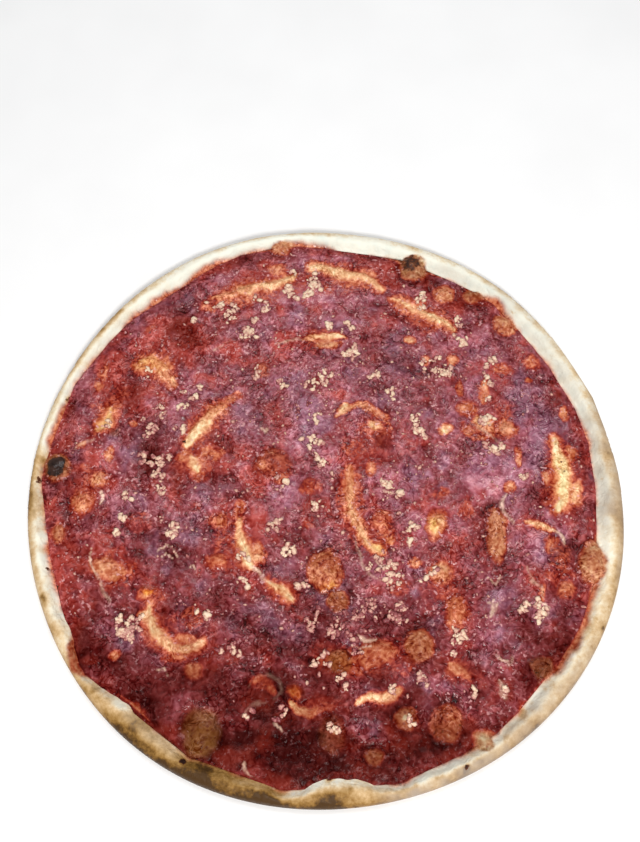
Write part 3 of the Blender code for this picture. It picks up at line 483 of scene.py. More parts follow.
# Brown and dark spots on the rim: centre x and y, half width, half depth, how dark, and
# any turn
RIM_SPOTS = (
    (-142, -62, 2.5, 3.5, 0.36, 20), (-142, 48, 2.2, 3.5, 0.54, -20), (-144, 35, 3, 5, 0.24),
    (112.8, 102, 3, 1.2, 0.3, -45), (104.4, 107, 4, 1, 0.27, -45), (-119, 103, 3.5, 2.5, 0.24, 40),
    (5, -144.4, 3, 2.2, 0.54), (-8, -141, 4, 2.5, 0.3), (-38, -143, 4, 3, 0.36, 10),
    (70.6, -139, 3, 2, 0.54, 30), (98, -113, 3, 3, 0.36, 45), (80, -126, 3.5, 3.5, 0.3),
    (-91, -122, 3.5, 3.5, 0.27), (-100, -122, 2.5, 2.5, 0.24), (-76, -139, 4, 2.5, 0.36, -30),
    (-20, -150, 6, 2.5, 0.3), (-112, -106, 2.5, 2, 0.21), (145, -60, 1.2, 1.6, 0.3),
    (141, -70, 1.4, 1.2, 0.36), (137, -66, 1, 1.6, 0.3), (134, -80, 1, 1.4, 0.3),
    (90, -124, 2.6, 1.6, 0.3, 40), (77, -135, 2.6, 1.4, 0.24, 30), (103, -108, 2, 1.2, 0.24, 50),
    (110, -101, 1.4, 1.2, 0.3), (57, -143, 3, 1.6, 0.21, 15), (129, -88, 1.2, 1, 0.24),
    (151, 22, 0.8, 1.2, 0.3), (149, 8, 0.7, 0.9, 0.3), (152, -6, 0.8, 0.8, 0.24),
    (-146, -38, 2, 3, 0.21), (-151, 12, 3, 3, 0.18), (-152, -18, 1.5, 3, 0.18),
    (-128, 92, 1.6, 3, 0.21, -40), (-106, 116, 2.2, 1.6, 0.18), (30, -148, 3, 2, 0.15),
    (45, -147, 2, 3, 0.18), (14, -149, 1.5, 2, 0.18),
)

# Burnt places: centre x and y, half width, half depth, how burnt, and any turn
CHARS = (
    (47.5, 136.3, 7.4, 5.8, 0.54), (-144.4, 8.6, 5.6, 6, 1.25), (-65.6, -137, 1.1, 2.2, 1, 20),
    (-142.8, -45, 0.9, 1, 0.9), (-137, -55, 1, 0.9, 0.9), (-153, 1.5, 1.2, 1.5, 0.6),
    (5, -144.4, 1.6, 1.3, 0.6), (70.6, -139, 1.8, 1.2, 0.45, 30), (7.5, -121.5, 1, 1.3, 0.7),
    (113.5, -53, 0.6, 0.6, 0.5), (-142, 48, 1.4, 2.2, 0.5, -20), (68, -119, 0.8, 0.9, 0.5),
    (60, -122, 0.7, 0.7, 0.5), (107, -93, 2.2, 1.4, 0.45, 30), (126.5, 17, 0.9, 0.7, 0.6),
    (127.2, 13, 0.7, 0.7, 0.5), (-76.5, 25.5, 1.4, 0.8, 0.7),
)

# What the materials read at each point
LOOKS = ("bare", "brown", "char", "tone", "warm", "ring", "oil", "shred_and_glint", "relief", "bake", "flour",
         "dull", "rim")


def smooth(share):
    """Eases from 0 to 1 as share does."""
    share = np.clip(share, 0, 1)
    return share * share * (3 - 2 * share)


def ease(value, start, length):
    """Eases from 0 to 1 over that length beyond the start."""
    return smooth((value - start) / length)


def fade(value, start, length):
    """Eases from 1 to 0 over that length beyond the start."""
    return 1 - smooth((value - start) / length)


def bell(value, centre, width):
    """1 at the centre, and about a third of that a width away."""
    return np.exp(-(((value - centre) / width) ** 2))


def dome(share, power=1.0):
    """From 1 in the middle to 0 at an outline, where the share is 1."""
    return np.clip(1 - share**2, 0, 1) ** power


def smooth_max(first, second, blend):
    """The greater of two heights, with a fillet about as wide as blend where they meet."""
    near = np.clip(blend - np.abs(first - second), 0, None) / blend
    return np.maximum(first, second) + near**2 * blend / 4


def degrees_from(angle, at):
    """Turn from an angle in degrees, between -180 and 180."""
    return (np.degrees(angle) - at + 180) % 360 - 180


def outer_radius(angle):
    """Distance from the middle to the outermost line of the rim."""
    radius = OUTER_RADIUS
    for order, reach, crest in OUTER_WAVES:
        radius = radius + reach * np.cos(order * angle - math.radians(crest))
    return radius


def sauce_radius(angle):
    """Distance from the middle to the edge of the sauce."""
    radius = SAUCE_RADIUS
    for at, half_width, reach in SAUCE_LOBES:
        radius = radius + reach * np.exp(-0.5 * (degrees_from(angle, at) / half_width) ** 2)
    radius = np.minimum(radius, outer_radius(angle) - LEAST_RIM_WIDTH)
    return radius + sum(reach * np.sin(order * angle + start) for order, reach, start in EDGE_WOBBLES)


def slow_noise(x, y, length):
    """Rise and fall between -1 and 1 over that length, as on the solids."""
    return np.array([noise.noise(Vector((a, b, 0)) / length) for a, b in zip(x, y)])


def lattice(across, up, seed):
    """A number from 0 to 1 for each corner of a lattice, the same in each run."""
    mixed = across.astype(np.int64) * 374761393 + up.astype(np.int64) * 668265263 + seed * 974634777
    mixed &= 0xFFFFFFFF
    mixed = ((mixed ^ (mixed >> 13)) * 1274126177) & 0xFFFFFFFF
    return ((mixed ^ (mixed >> 16)) & 0xFFFFFF) / 0xFFFFFF


def value_noise(u, v, seed, around=None):
    """Noise between -1 and 1 over a lattice, which may repeat upwards after so many rows."""
    left, low = np.floor(u), np.floor(v)
    s, t = smooth(u - left), smooth(v - low)
    rows = [low + j if around is None else (low + j) % around for j in (0, 1)]
    corner = [lattice(left + i, row, seed) for row in rows for i in (0, 1)]
    below = corner[0] + (corner[1] - corner[0]) * s
    above = corner[2] + (corner[3] - corner[2]) * s
    return 2 * (below + (above - below) * t) - 1


def grain(x, y, length, seed, octaves=1):
    """Noise between -1 and 1 over that length, and over halves of it at half the height."""
    total = np.zeros(np.shape(x))
    reach = 0.0
    for octave in range(octaves):
        share = 0.5**octave
        u = x / length / share + 17.3 * octave
        v = y / length / share + 5.1 * octave
        total += share * value_noise(u, v, seed + octave)
        reach += share
    return total / reach


def ring_grain(x, y, across, around, seed):
    """Noise between -1 and 1 that is drawn out in rings, as by a turning ladle."""
    dx, dy = x - SWIRL_CENTRE[0], y - SWIRL_CENTRE[1]
    away = np.hypot(dx, dy)
    u = (away + 3.5 * grain(x, y, 24.0, seed + 1)) / across
    v = (np.arctan2(dy, dx) / math.tau + 0.5) * around
    return value_noise(u, v, seed, around) * ease(away, 6, 18)


def warp(x, y, seed, fine_seed):
    """How far outlines are pushed aside at each point."""
    coarse = WARP_REACH * grain(x, y, WARP_LENGTH, seed, 2)
    return coarse + FINE_WARP_REACH * grain(x, y, FINE_WARP_LENGTH, fine_seed)


def ellipse_share(x, y, centre_x, centre_y, half_width, half_depth, turn=0):
    """Distance from an ellipse's centre, where 1 is its outline."""
    cos, sin = math.cos(math.radians(turn)), math.sin(math.radians(turn))
    across = (x - centre_x) * cos + (y - centre_y) * sin
    along = (y - centre_y) * cos - (x - centre_x) * sin
    return np.hypot(across / half_width, along / half_depth)


def smooth_line(points, step):
    """A curve through the points, with a point about every step."""
    inner = np.array(points, float)
    rail = np.vstack([2 * inner[0] - inner[1], inner, 2 * inner[-1] - inner[-2]])
    line = []
    for before, start, end, after in zip(rail, rail[1:], rail[2:], rail[3:]):
        count = max(1, round(np.linalg.norm(end - start) / step))
        for t in np.arange(count) / count:
            pull = end - before
            push = after - start
            bend = 2 * start - 2 * end + 0.5 * (pull + push)
            lean = 3 * (end - start) - pull - 0.5 * push
            line.append(start + 0.5 * pull * t + lean * t**2 + bend * t**3)
    line.append(rail[-2])
    return np.array(line)


def crest(half_width, points, lean=0.0):
    """A line through the points, or that far to its left, and its half widths."""
    line = smooth_line(points, FOLD_STEP)
    ahead = np.gradient(line, axis=0)
    ahead /= np.linalg.norm(ahead, axis=1)[:, None]
    line = line + lean * np.stack([-ahead[:, 1], ahead[:, 0]], 1)
    middle = np.sin(np.linspace(0, math.pi, len(line))) ** FOLD_TAPER_POWER
    return line, half_width * (FOLD_END_WIDTH + (1 - FOLD_END_WIDTH) * middle)


def line_share(x, y, line, widths):
    """Distance in the plan to a line, as a share of its half width there, and how far along it."""
    nearest = np.full(np.shape(x), FAR)
    along = np.zeros(np.shape(x))
    margin = 4 * max(widths)
    near = (x > line[:, 0].min() - margin) & (x < line[:, 0].max() + margin)
    near &= (y > line[:, 1].min() - margin) & (y < line[:, 1].max() + margin)
    px, py = x[near], y[near]
    best, at = nearest[near], along[near]
    for i, ((ax, ay), (bx, by)) in enumerate(zip(line, line[1:])):
        dx, dy = bx - ax, by - ay
        share = np.clip(((px - ax) * dx + (py - ay) * dy) / (dx * dx + dy * dy), 0, 1)
        distance = np.hypot(px - ax - share * dx, py - ay - share * dy)
        distance = distance / (widths[i] + (widths[i + 1] - widths[i]) * share)
        at = np.where(distance < best, (i + share) / (len(line) - 1), at)
        best = np.minimum(best, distance)
    nearest[near], along[near] = best, at
    return nearest, along


FOLD_LINES = [crest(fold.half_width, fold.points) for fold in FOLDS]
BARE_LINES = [crest(fold.half_width, fold.points, fold.lean) for fold in FOLDS]
CURL_LINES = [crest(half_width, points) for half_width, _, _, points in CURLS]
SHRED_AND_GLINT_LINES = [crest(half_width, points) for half_width, points in SHREDS_AND_GLINTS]


class Surface:
    """The heights and looks of the pizza's top at points of the plan.

    Looks run from 0 to about 1, unless a method says otherwise. Beyond is how far a point lies
    outside the sauce's edge, and a share is a distance from a middle, where 1 is the outline.
    """

    def __init__(self, x, y):
        self.x, self.y = x, y
        self.wx, self.wy = x + warp(x, y, 11, 31), y + warp(x, y, 23, 37)
        self.angle = np.arctan2(y, x)
        self.radius = np.hypot(x, y)
        self.outer = outer_radius(self.angle)
        self.sauce_edge = sauce_radius(self.angle)
        self.beyond = self.radius - self.sauce_edge
        foot = self.sauce_edge + RIM_FOOT_GAP
        self.rim_share = (self.radius - foot) / (self.outer - foot)
        self.blisters = [ellipse_share(self.wx, self.wy, *blister[:5]) for blister in BLISTERS]
        self.folds = [share for share, _ in self.lines(FOLD_LINES)]
        self.curls = [share for share, _ in self.lines(CURL_LINES)]

    def lines(self, lines):
        """For each line, the distance as a share of its half width, and how far along it."""
        return [line_share(self.wx, self.wy, line, widths) for line, widths in lines]

    def grain(self, length, seed, octaves=1):
        """Noise between -1 and 1 over that length. Each seed gives another pattern."""
        return grain(self.x, self.y, length, seed, octaves)

    def warped_grain(self, length, seed, octaves=1):
        """The same noise, pushed aside as outlines are."""
        return grain(self.wx, self.wy, length, seed, octaves)

    def patches(self, places, start, length, ragged=0.0, warped=True):
        """For each place, its amount, which fades from that share of the ellipse over that length."""
        x, y = (self.wx, self.wy) if warped else (self.x, self.y)
        for centre_x, centre_y, half_width, half_depth, amount, *turn in places:
            share = ellipse_share(x, y, centre_x, centre_y, half_width, half_depth, *turn)
            yield amount * fade(share + ragged, start, length)

    def stretches(self, places):
        """For each stretch of the rim, its amount, which fades at its ends and sides."""
        for at, half_width, low, high, amount in places:
            across = ease(self.rim_share, low - STRETCH_BLUR / 2, STRETCH_BLUR)
            across *= fade(self.rim_share, high - STRETCH_BLUR / 2, STRETCH_BLUR)
            yield amount * across * self.along_rim(at, half_width)

    def along_rim(self, at, half_width, start=0.4, length=0.8):
        """1 round an angle in degrees, which fades from that share of the half width on."""
        return fade(np.abs(degrees_from(self.angle, at)) / half_width, start, length)

    def raised(self):
        """Height of the blisters and folds over the flat base."""
        skin = SKIN_HEIGHT * self.grain(3.0, 47, 2)
        height = np.zeros(np.shape(self.x))
        for blister, at in zip(BLISTERS, self.blisters):
            height = np.maximum(height, (blister.height - BLISTER_TRIM + skin) * dome(at, BLISTER_POWER))
        for fold, at in zip(FOLDS, self.folds):
            height = np.maximum(height, (fold.height + 2.0 * skin) * dome(at, FOLD_POWER))
        return BASE_THICKNESS + height

    def dough(self):
        """Height of the dough, with its rim, blisters and folds."""
        width = self.outer - self.sauce_edge - RIM_FOOT_GAP
        share = np.clip(self.rim_share, 0, 1)
        rise = (RIM_HEIGHT - BASE_THICKNESS) * np.minimum(1, width / FULL_RIM_WIDTH)
        rise = rise + RIM_BUMP_HEIGHT * slow_noise(self.x, self.y, RIM_BUMP_LENGTH)
        rise = rise + PIMPLE_HEIGHT * self.grain(7.0, 41, 2) + FINE_PIMPLE_HEIGHT * self.grain(2.2, 43)
        inside = BASE_THICKNESS + rise * np.sin(share / CREST_SHARE * math.pi / 2) ** 2
        fall = np.clip((share - CREST_SHARE) / (1 - CREST_SHARE), 0, 1)
        outside = WIDEST_HEIGHT + (BASE_THICKNESS + rise - WIDEST_HEIGHT) * np.sqrt(1 - fall**2)
        return np.maximum(np.where(share < CREST_SHARE, inside, outside), self.raised())

    def sauce(self):
        """Height of the top of the sauce, which climbs a little way up what stands in it."""
        lumps = slow_noise(self.x, self.y, LUMP_LENGTH)
        full = SAUCE_THICKNESS + LUMP_HEIGHT * lumps
        full = full + SWIRL_HEIGHT * np.sin(self.radius / SWIRL_STEP * math.tau + 2 * lumps)
        full = full + RELIEF_HEIGHT * self.relief()
        full = full + BUBBLE_HEIGHT * dome(ellipse_share(self.wx, self.wy, *BUBBLE), BUBBLE_POWER)
        for (_, height, _, _), at in zip(CURLS, self.curls):
            full = full + height * dome(at)
        for at in self.blisters:
            full = full - DIP_DEPTH * bell(at, DIP_SHARE, DIP_WIDTH)
        feather = np.sqrt(np.clip((0.1 - self.beyond) / FEATHER_WIDTH, 0, 1))
        thickness = EDGE_SAUCE + (np.maximum(full, LEAST_SAUCE) - EDGE_SAUCE) * feather
        height = BASE_THICKNESS + PIECE_GAP + thickness
        nearest = np.minimum.reduce(self.blisters + self.folds)
        skirt = self.raised() + CLIMB_LOW + (CLIMB_HIGH - CLIMB_LOW) * ease(nearest, 0.5, 0.4)
        skirt = np.where(nearest < 1.05, skirt, BASE_THICKNESS)
        return smooth_max(height, skirt, FILLET)

    def relief(self):
        """From about -1 in the sauce's creases to 1 on its lumps."""
        lumps = 0.60 * self.warped_grain(7.5, 53, 2) + 0.36 * ring_grain(self.x, self.y, 4.4, 66, 57)
        lumps += 0.26 * self.grain(3.0, 61)
        crease = 1 - np.abs(self.warped_grain(6.0, 59))
        return lumps - 0.55 * crease**8

    def tone(self):
        """From 0 where the sauce is dark and oily to 1 where it is pale; the pale end is partly painted
        sheen.
        """
        level = 0.52 + 0.18 * self.warped_grain(14.0, 101, 2) + 0.08 * self.grain(40.0, 103)
        level += 0.08 * ring_grain(self.x, self.y, 9.0, 30, 107)
        level -= 0.07 * ease(self.radius, 112, 32)
        # Painted shade: the sauce is made darker towards the front.
        level -= 0.30 * ease(-self.y, 30, 80)
        ragged = 0.3 * self.grain(7.0, 73, 2)
        return np.clip(sum(self.patches(TONES, 0.3, 0.9, ragged, warped=False), level), 0, 1)

    def warm(self):
        """From 0 where the sauce is bluish, which is painted sheen of cool light, to 1 where it is
        orange-red.
        """
        level = 0.44 + 0.42 * self.warped_grain(9.0, 113, 2)
        level += 0.08 * ease(self.radius, 95, 40) + 0.14 * ease(-self.y, 100, 30)
        return np.clip(sum(self.patches(HUES, 0.3, 0.9), level), 0, 1)

    def ring(self):
        """How dark the sauce is round the blisters and folds: partly cooked down, partly painted shade.
        """
        level = np.zeros(np.shape(self.x))
        for row, (blister, at) in enumerate(zip(BLISTERS, self.blisters)):
            outside = (at - 1) * min(blister.half_width, blister.half_depth)
            # Painted shade: the ring is darker on the left side of each blister.
            left_shade = np.clip((blister.x - self.x) / blister.half_width, -1, 1)
            strength = (0.50 + 0.26 * left_shade) * (1.0 if row < HALF_SUNK_FROM else SUNK_RING)
            level = np.maximum(level, strength * bell(outside, 0.6, 1.5))
        for fold, at in zip(FOLDS, self.folds):
            level = np.maximum(level, 0.18 * bell((at - 1) * fold.half_width, 0.9 * fold.reach, 2.6))
        return np.clip(level * (0.8 + 0.9 * self.grain(8.0, 109, 2)), 0, 1)

    def bare(self):
        """From 0 where the sauce is thick to 1 where the dough is bare."""
        patchy = 1 + 0.60 * self.grain(11.0, 97, 2)
        level = np.maximum(self.bare_blisters(patchy), self.bare_folds(patchy))
        ragged = 0.30 * self.grain(5.0, 67, 3)
        for stain in self.patches(STAINS, 0.25, 1.0, ragged):
            level = np.maximum(level, patchy * stain)
        edge = 0.10 * np.exp(np.minimum(self.beyond, 0)) + 0.34 * ease(self.beyond, -0.3, 1.6)
        return np.maximum(level, edge)

    def bare_blisters(self, patchy):
        """How bare the blisters are, with a halo of thin sauce; paler middles are partly painted light.
        """
        level = np.zeros(np.shape(self.x))
        uneven = self.grain(5.0, 149, 2)
        on_rim = ease(self.beyond, -1, 2)
        for row, (blister, at) in enumerate(zip(BLISTERS, self.blisters)):
            outside = (at - 1) * min(blister.half_width, blister.half_depth) - 3 * on_rim
            # Painted light and shade: each blister is paler in its middle and on its far side, and darker
            # towards its edge, partly where the sauce is thicker.
            far_side_light = np.clip((self.y - blister.y) / blister.half_depth, -1, 1)
            paleness = 1.08 - 0.12 * (1 - on_rim) * np.minimum(at, 1) ** 2
            paleness = paleness * (1 + 0.36 * uneven + 0.08 * far_side_light)
            firm = row < HALF_SUNK_FROM
            edge = fade(outside, -1.7, 3.6) if firm else fade(outside + patchy, -2.0, 6.6)
            core = blister.bare * paleness * edge
            halo = min(0.20, blister.bare) * fade(outside, -0.8, 2.8)
            level = np.maximum(level, np.maximum(core, halo * patchy))
        return level

    def bare_folds(self, patchy):
        """How bare the folds are, with thin sauce round them."""
        level = np.zeros(np.shape(self.x))
        ragged = 1.6 * self.grain(4.5, 127, 3)
        for fold, (at, along) in zip(FOLDS, self.lines(BARE_LINES)):
            away = at * fold.half_width + ragged
            bare = fold.bare + (fold.bare_end - fold.bare) * along
            core = bare * (1 + 0.12 * ragged) * fade(away, 0.8, fold.half_width + 0.45 * fold.reach)
            halo = 0.34 * min(1, fold.reach / 6) * fade(away, fold.half_width - 0.8, fold.reach + 5)
            level = np.maximum(level, np.maximum(core, halo * patchy))
        return level

    def oil(self):
        """How yellow with oil the sauce and dough are."""
        return np.maximum.reduce([*self.patches(OILS, 0.4, 0.9, 0.3 * self.grain(4.0, 157, 2))])

    def shred_and_glint(self):
        """How pale it is there: shreds and curls of dough, and painted highlights on glossy streaks."""
        broken = self.grain(2.4, 137, 2)
        nearest = np.minimum.reduce([share for share, _ in self.lines(SHRED_AND_GLINT_LINES)])
        level = fade(nearest + broken, 0.4, 1.0)
        for (_, _, paleness, _), at in zip(CURLS, self.curls):
            level = np.maximum(level, paleness * (1 + 0.8 * broken) * fade(at, 0.3, 1.3))
        return np.clip(level, 0, 1)

    def brown(self):
        """How browned the blisters are."""
        browned = [blister.brown * fade(at, 0.72, 0.4) for blister, at in zip(BLISTERS, self.blisters)]
        return np.maximum.reduce(browned)

    def char(self):
        """How burnt the dough is, up to 1.25 in the blackest blister."""
        return np.maximum.reduce([*self.patches(CHARS, 0.6, 0.5, 0.12 * self.grain(2.0, 71))])

    def rim(self):
        """From 0 in the sauce to 1 on the rim."""
        smear = 0.4 + 0.9 * self.grain(7.0, 131, 2)
        uneven = 0.8 + 0.3 * self.grain(6.0, 139, 2)
        for at, half_width, reach in SMEARS:
            smear += reach * uneven * self.along_rim(at, half_width)
        level = ease(self.beyond - np.maximum(smear, 0), -0.8, 2.8)
        for at in self.blisters:
            level = level * ease(at, 0.84, 0.2)
        return level

    def bake(self):
        """How browned the rim is, from 0 where it is floury to 1.3 where it is darkest."""
        level = 0.10 + 0.26 * ease(self.rim_share, 0.25, 0.7) + 0.10 * ease(self.rim_share, 0.85, 0.15)
        level = sum(self.stretches(BAKED), level)
        level = level + 0.24 * self.grain(7.0, 79, 3) + 0.10 * self.grain(3.0, 163, 2)
        return np.clip(sum(self.patches(RIM_SPOTS, 0.2, 0.9), level), 0, 1.3)

    def dull(self):
        """How grey the rim is: painted shade on the right side, and dusty grey on the lower right."""
        level = np.maximum.reduce([*self.stretches(DULLED)])
        return np.clip(level * (1 + 0.6 * self.grain(5.0, 151, 2)), 0, 1)

    def flour(self):
        """How white and floury the rim's inner slope is."""
        level = np.zeros(np.shape(self.x))
        for at, half_width, high, amount in FLOURED:
            across = fade(self.rim_share, high - FLOUR_BLUR / 2, FLOUR_BLUR)
            level = np.maximum(level, amount * across * self.along_rim(at, half_width, 0.6, 0.6))
        return np.clip(level * (1 + 0.3 * self.grain(5.0, 83, 2)), 0, 1)

    def looks(self):
        """All the looks, by name."""
        return {key: getattr(self, key)() for key in LOOKS}


def hexagonal(step, radius):
    """Points about a step apart, in rows, out to a radius."""
    rows = int(radius / step / math.sin(math.pi / 3)) + 1
    columns = int(radius / step) + 2
    row, column = np.mgrid[-rows : rows + 1, -columns : columns + 1]
    x = (column + 0.5 * (row % 2)) * step
    y = row * step * math.sin(math.pi / 3)
    inside = np.hypot(x, y) < radius
    return x[inside], y[inside]


def outline(radius, count, trim=0.0):
    """Points round the closed line whose distance from the middle is radius(angle) less the trim."""
    angles = np.arange(count) / count * math.tau
    away = radius(angles) - trim
    return np.stack([away * np.cos(angles), away * np.sin(angles)], 1)


def triangulate(points, loop):
    """Points of the plan and the triangles between them, with the closed loop as edges."""
    flat = [Vector(p) for p in points] + [Vector(p) for p in loop]
    edges = [(len(points) + i, len(points) + (i + 1) % len(loop)) for i in range(len(loop))]
    found, _, faces, *_ = delaunay_2d_cdt(flat, edges, [], 0, SAME_POINT)
    return np.array(found), np.array([list(f) for f in faces])


def boundary_edges(faces):
    """The edges with a face on one side only, each in its face's direction."""
    sides = {(f[i], f[(i + 1) % 3]) for f in faces.tolist() for i in range(3)}
    return sorted((a, b) for a, b in sides if (b, a) not in sides)


def compact(points, faces):
    """Only the points that the faces use, and the faces renumbered."""
    used = np.unique(faces)
    place = np.full(len(points), -1)
    place[used] = np.arange(len(used))
    return points[used], place[faces]


def inside_loops(spots, corners, edges):
    """Which of the spots lie inside the closed loops that the edges make."""
    inside = np.zeros(len(spots), bool)
    x, y = spots[:, 0], spots[:, 1]
    for a, b in edges:
        (ax, ay), (bx, by) = corners[a], corners[b]
        if ay == by:
            continue
        crossed = (ay > y) != (by > y)
        inside ^= crossed & (x < ax + (y - ay) / (by - ay) * (bx - ax))
    return inside


def add_piece(name, points, faces, material, looks):
    """A smooth mesh of points in millimetres, with each of the looks as a number at each point."""
    mesh = bpy.data.meshes.new(name)
    mesh.from_pydata((np.asarray(points) * MM).tolist(), [], faces)
    mesh.materials.append(material)
    for key, values in looks.items():
        attribute = mesh.attributes.new(key, "FLOAT", "POINT")
        attribute.data.foreach_set("value", np.asarray(values, np.float32))
    body = bmesh.new()
    body.from_mesh(mesh)
    bmesh.ops.recalc_face_normals(body, faces=body.faces)
    body.to_mesh(mesh)
    body.free()
    mesh.shade_smooth()
    piece = bpy.data.objects.new(name, mesh)
    bpy.context.scene.collection.objects.link(piece)
    return piece


def coarse_cell(x, y):
    """The square of the coarse grid in which a point lies."""
    return round(x / HIDDEN_STEP), round(y / HIDDEN_STEP)


def dough_plan():
    """Points and triangles of the dough: fine where it shows, and coarse under the sauce."""
    x, y = hexagonal(DOUGH_STEP, OUTER_RADIUS + PLAN_MARGIN)
    surface = Surface(x, y)
    shown = surface.radius > surface.sauce_edge - DOUGH_MARGIN
    for blister, at in zip(BLISTERS, surface.blisters):
        shown |= at < 1 + 1 / min(blister.half_width, blister.half_depth)
    for fold, at in zip(FOLDS, surface.folds):
        shown |= at < 1 + 1 / fold.half_width
    shown &= surface.radius < surface.outer - LEAST_SPACING * DOUGH_STEP
    fine = list(zip(x[shown], y[shown]))
    taken = {coarse_cell(*spot) for spot in fine}
    coarse = zip(*hexagonal(HIDDEN_STEP, OUTER_RADIUS))
    hidden = [spot for spot in coarse if coarse_cell(*spot) not in taken]
    return triangulate(fine + hidden, outline(outer_radius, RIM_POINTS, OUTLINE_TRIM))


def make_dough(material):
    """The dough base, with its rounded underside."""
    flat, triangles = dough_plan()
    top = Surface(flat[:, 0], flat[:, 1])
    heights = top.dough()
    after = dict(boundary_edges(triangles))
    line = [min(after)]
    while after[line[-1]] != line[0]:
        line.append(after[line[-1]])
    heights[line] = WIDEST_HEIGHT
    points = [np.column_stack([flat, heights])]
    faces = triangles.tolist()
    above = line
    for ring, (inset, height) in enumerate(UNDERSIDE_STEPS):
        around = flat[line] * (1 - inset / np.linalg.norm(flat[line], axis=1))[:, None]
        points.append(np.column_stack([around, np.full(len(line), height)]))
        first = len(flat) + ring * len(line)
        below = list(range(first, first + len(line)))
        faces += map(list, zip(above, below, below[1:] + below[:1], above[1:] + above[:1]))
        above = below
    faces.append(above[::-1])
    on_line = np.concatenate([np.arange(len(flat))] + [line] * len(UNDERSIDE_STEPS))
    looks = {key: values[on_line] for key, values in top.looks().items()}
    return add_piece("dough", np.vstack(points), faces, material, looks)


def close_below(above, top, height):
    """A flat underside at that height, and walls up to it, for the points and triangles above.

    Gives the underside's points, the faces, and which of the points above each of them is under.
    """
    sides = boundary_edges(top)
    rim = sorted({i for side in sides for i in side})
    place = {old: new for new, old in enumerate(rim)}
    low = [Vector(above[i, :2]) for i in rim]
    edges = [(place[a], place[b]) for a, b in sides]
    found, _, faces, *_ = delaunay_2d_cdt(low, edges, [], 0, SAME_CORNER)
    middles = np.array([np.mean([found[i] for i in face], 0) for face in faces])
    kept = inside_loops(middles, np.array(low), edges)
    first = len(above)
    bottom = [[first + i for i in face][::-1] for face, good in zip(faces, kept) if good]
    walls = [[b, a, first + place[a], first + place[b]] for a, b in sides]
    return [(x, y, height) for x, y in found], bottom + walls, rim


def make_sauce(material):
    """The sauce: fine above and flat below, cut away inside the blisters and folds."""
    x, y = hexagonal(SAUCE_STEP, SAUCE_RADIUS + PLAN_MARGIN)
    inside = np.hypot(x, y) < sauce_radius(np.arctan2(y, x)) - LEAST_SPACING * SAUCE_STEP
    spots = list(zip(x[inside], y[inside]))
    flat, faces = triangulate(spots, outline(sauce_radius, SAUCE_EDGE_POINTS))
    surface = Surface(flat[:, 0], flat[:, 1])
    heights = surface.sauce()
    buried = surface.dough() > heights + BURIED
    numbered = np.column_stack([flat, heights, np.arange(len(flat))])
    above, top = compact(numbered, faces[~buried[faces].all(1)])
    below, closing, rim = close_below(above, top, BASE_THICKNESS + PIECE_GAP)
    points = np.vstack([above[:, :3], below])
    chosen = above[:, 3].astype(int)
    chosen = np.concatenate([chosen, chosen[rim]])
    looks = {key: values[chosen] for key, values in surface.looks().items()}
    return add_piece("sauce_layer", points, top.tolist() + closing, material, looks)


def ball(level):
    """Corners and triangles of a small ball of radius 1."""
    body = bmesh.new()
    bmesh.ops.create_icosphere(body, subdivisions=level, radius=1)
    corners = np.array([v.co for v in body.verts])
    faces = np.array([[v.index for v in f.verts] for f in body.faces])
    body.free()
    return corners, faces


def add_grains(name, spots, level, rng, material, stain):
    """Uneven grains, partly sunk into what they lie on.

    A spot is x, y, radius and lift, and the level says how fine each grain's mesh is.
    """
    x, y, size, lift = np.array(spots).T
    surface = Surface(x, y)
    floor = np.maximum(surface.sauce(), surface.dough())
    darkened = sum(surface.patches(DARKER_GARLIC, 0.4, 0.8, warped=False))
    shape, sides = ball(level)
    corners, faces, stains = [], [], []
    for i in np.flatnonzero(surface.radius < surface.sauce_edge - 1):
        lumpy = shape * (1 + rng.uniform(-GRAIN_LUMPS, GRAIN_LUMPS, (len(shape), 1)))
        stretch = np.array((rng.uniform(*GRAIN_LENGTH), rng.uniform(*GRAIN_WIDTH), GRAIN_HEIGHT))
        spin = Matrix.Rotation(rng.uniform(0, math.tau), 3, "Z")
        tilt = Matrix.Rotation(rng.uniform(-GRAIN_TILT, GRAIN_TILT), 3, "X")
        placed = (lumpy * (size[i] * stretch)) @ np.array(spin @ tilt).T
        placed += (x[i], y[i], floor[i] + GRAIN_LIFT * size[i] + lift[i])
        faces.append(sides + len(corners) * len(shape))
        corners.append(placed)
        sunk = fade(placed[:, 2], floor[i], 0.9 * size[i])
        stains.append(rng.uniform(*stain) + darkened[i] + SUNK_STAIN * sunk)
    looks = {"stain": np.concatenate(stains)}
    return add_piece(name, np.vstack(corners), np.vstack(faces).tolist(), material, looks)


def make_crumbs(material):
    """Clumps of garlic crumbs, heaped a little in the middle of each."""
    rng = np.random.default_rng(CRUMB_SEED)
    smallest, largest = CRUMB_RADIUS
    spots = []
    last_clump = None
    for centre_x, centre_y, spread, count in CLUMPS:
        for radius in smallest + (largest - smallest) * rng.random(count) ** SMALL_CRUMBS:
            if last_clump != centre_x or rng.random() < LOOSE_SHARE:
                x, y = rng.normal(0, CLUMP_TIGHTNESS, 2) * spread
            else:
                turn = rng.uniform(0, math.tau)
                x = spots[-1][0] - centre_x + NEXT_CRUMB * radius * math.cos(turn)
                y = spots[-1][1] - centre_y + NEXT_CRUMB * radius * math.sin(turn)
            last_clump = centre_x
            heap = math.exp(-(x * x + y * y) / spread**2) * rng.random()
            spots.append((centre_x + x, centre_y + y, radius, HEAP_HEIGHT * heap))
    return add_grains("garlic_crumbs", spots, 2, rng, material, CRUMB_STAIN)


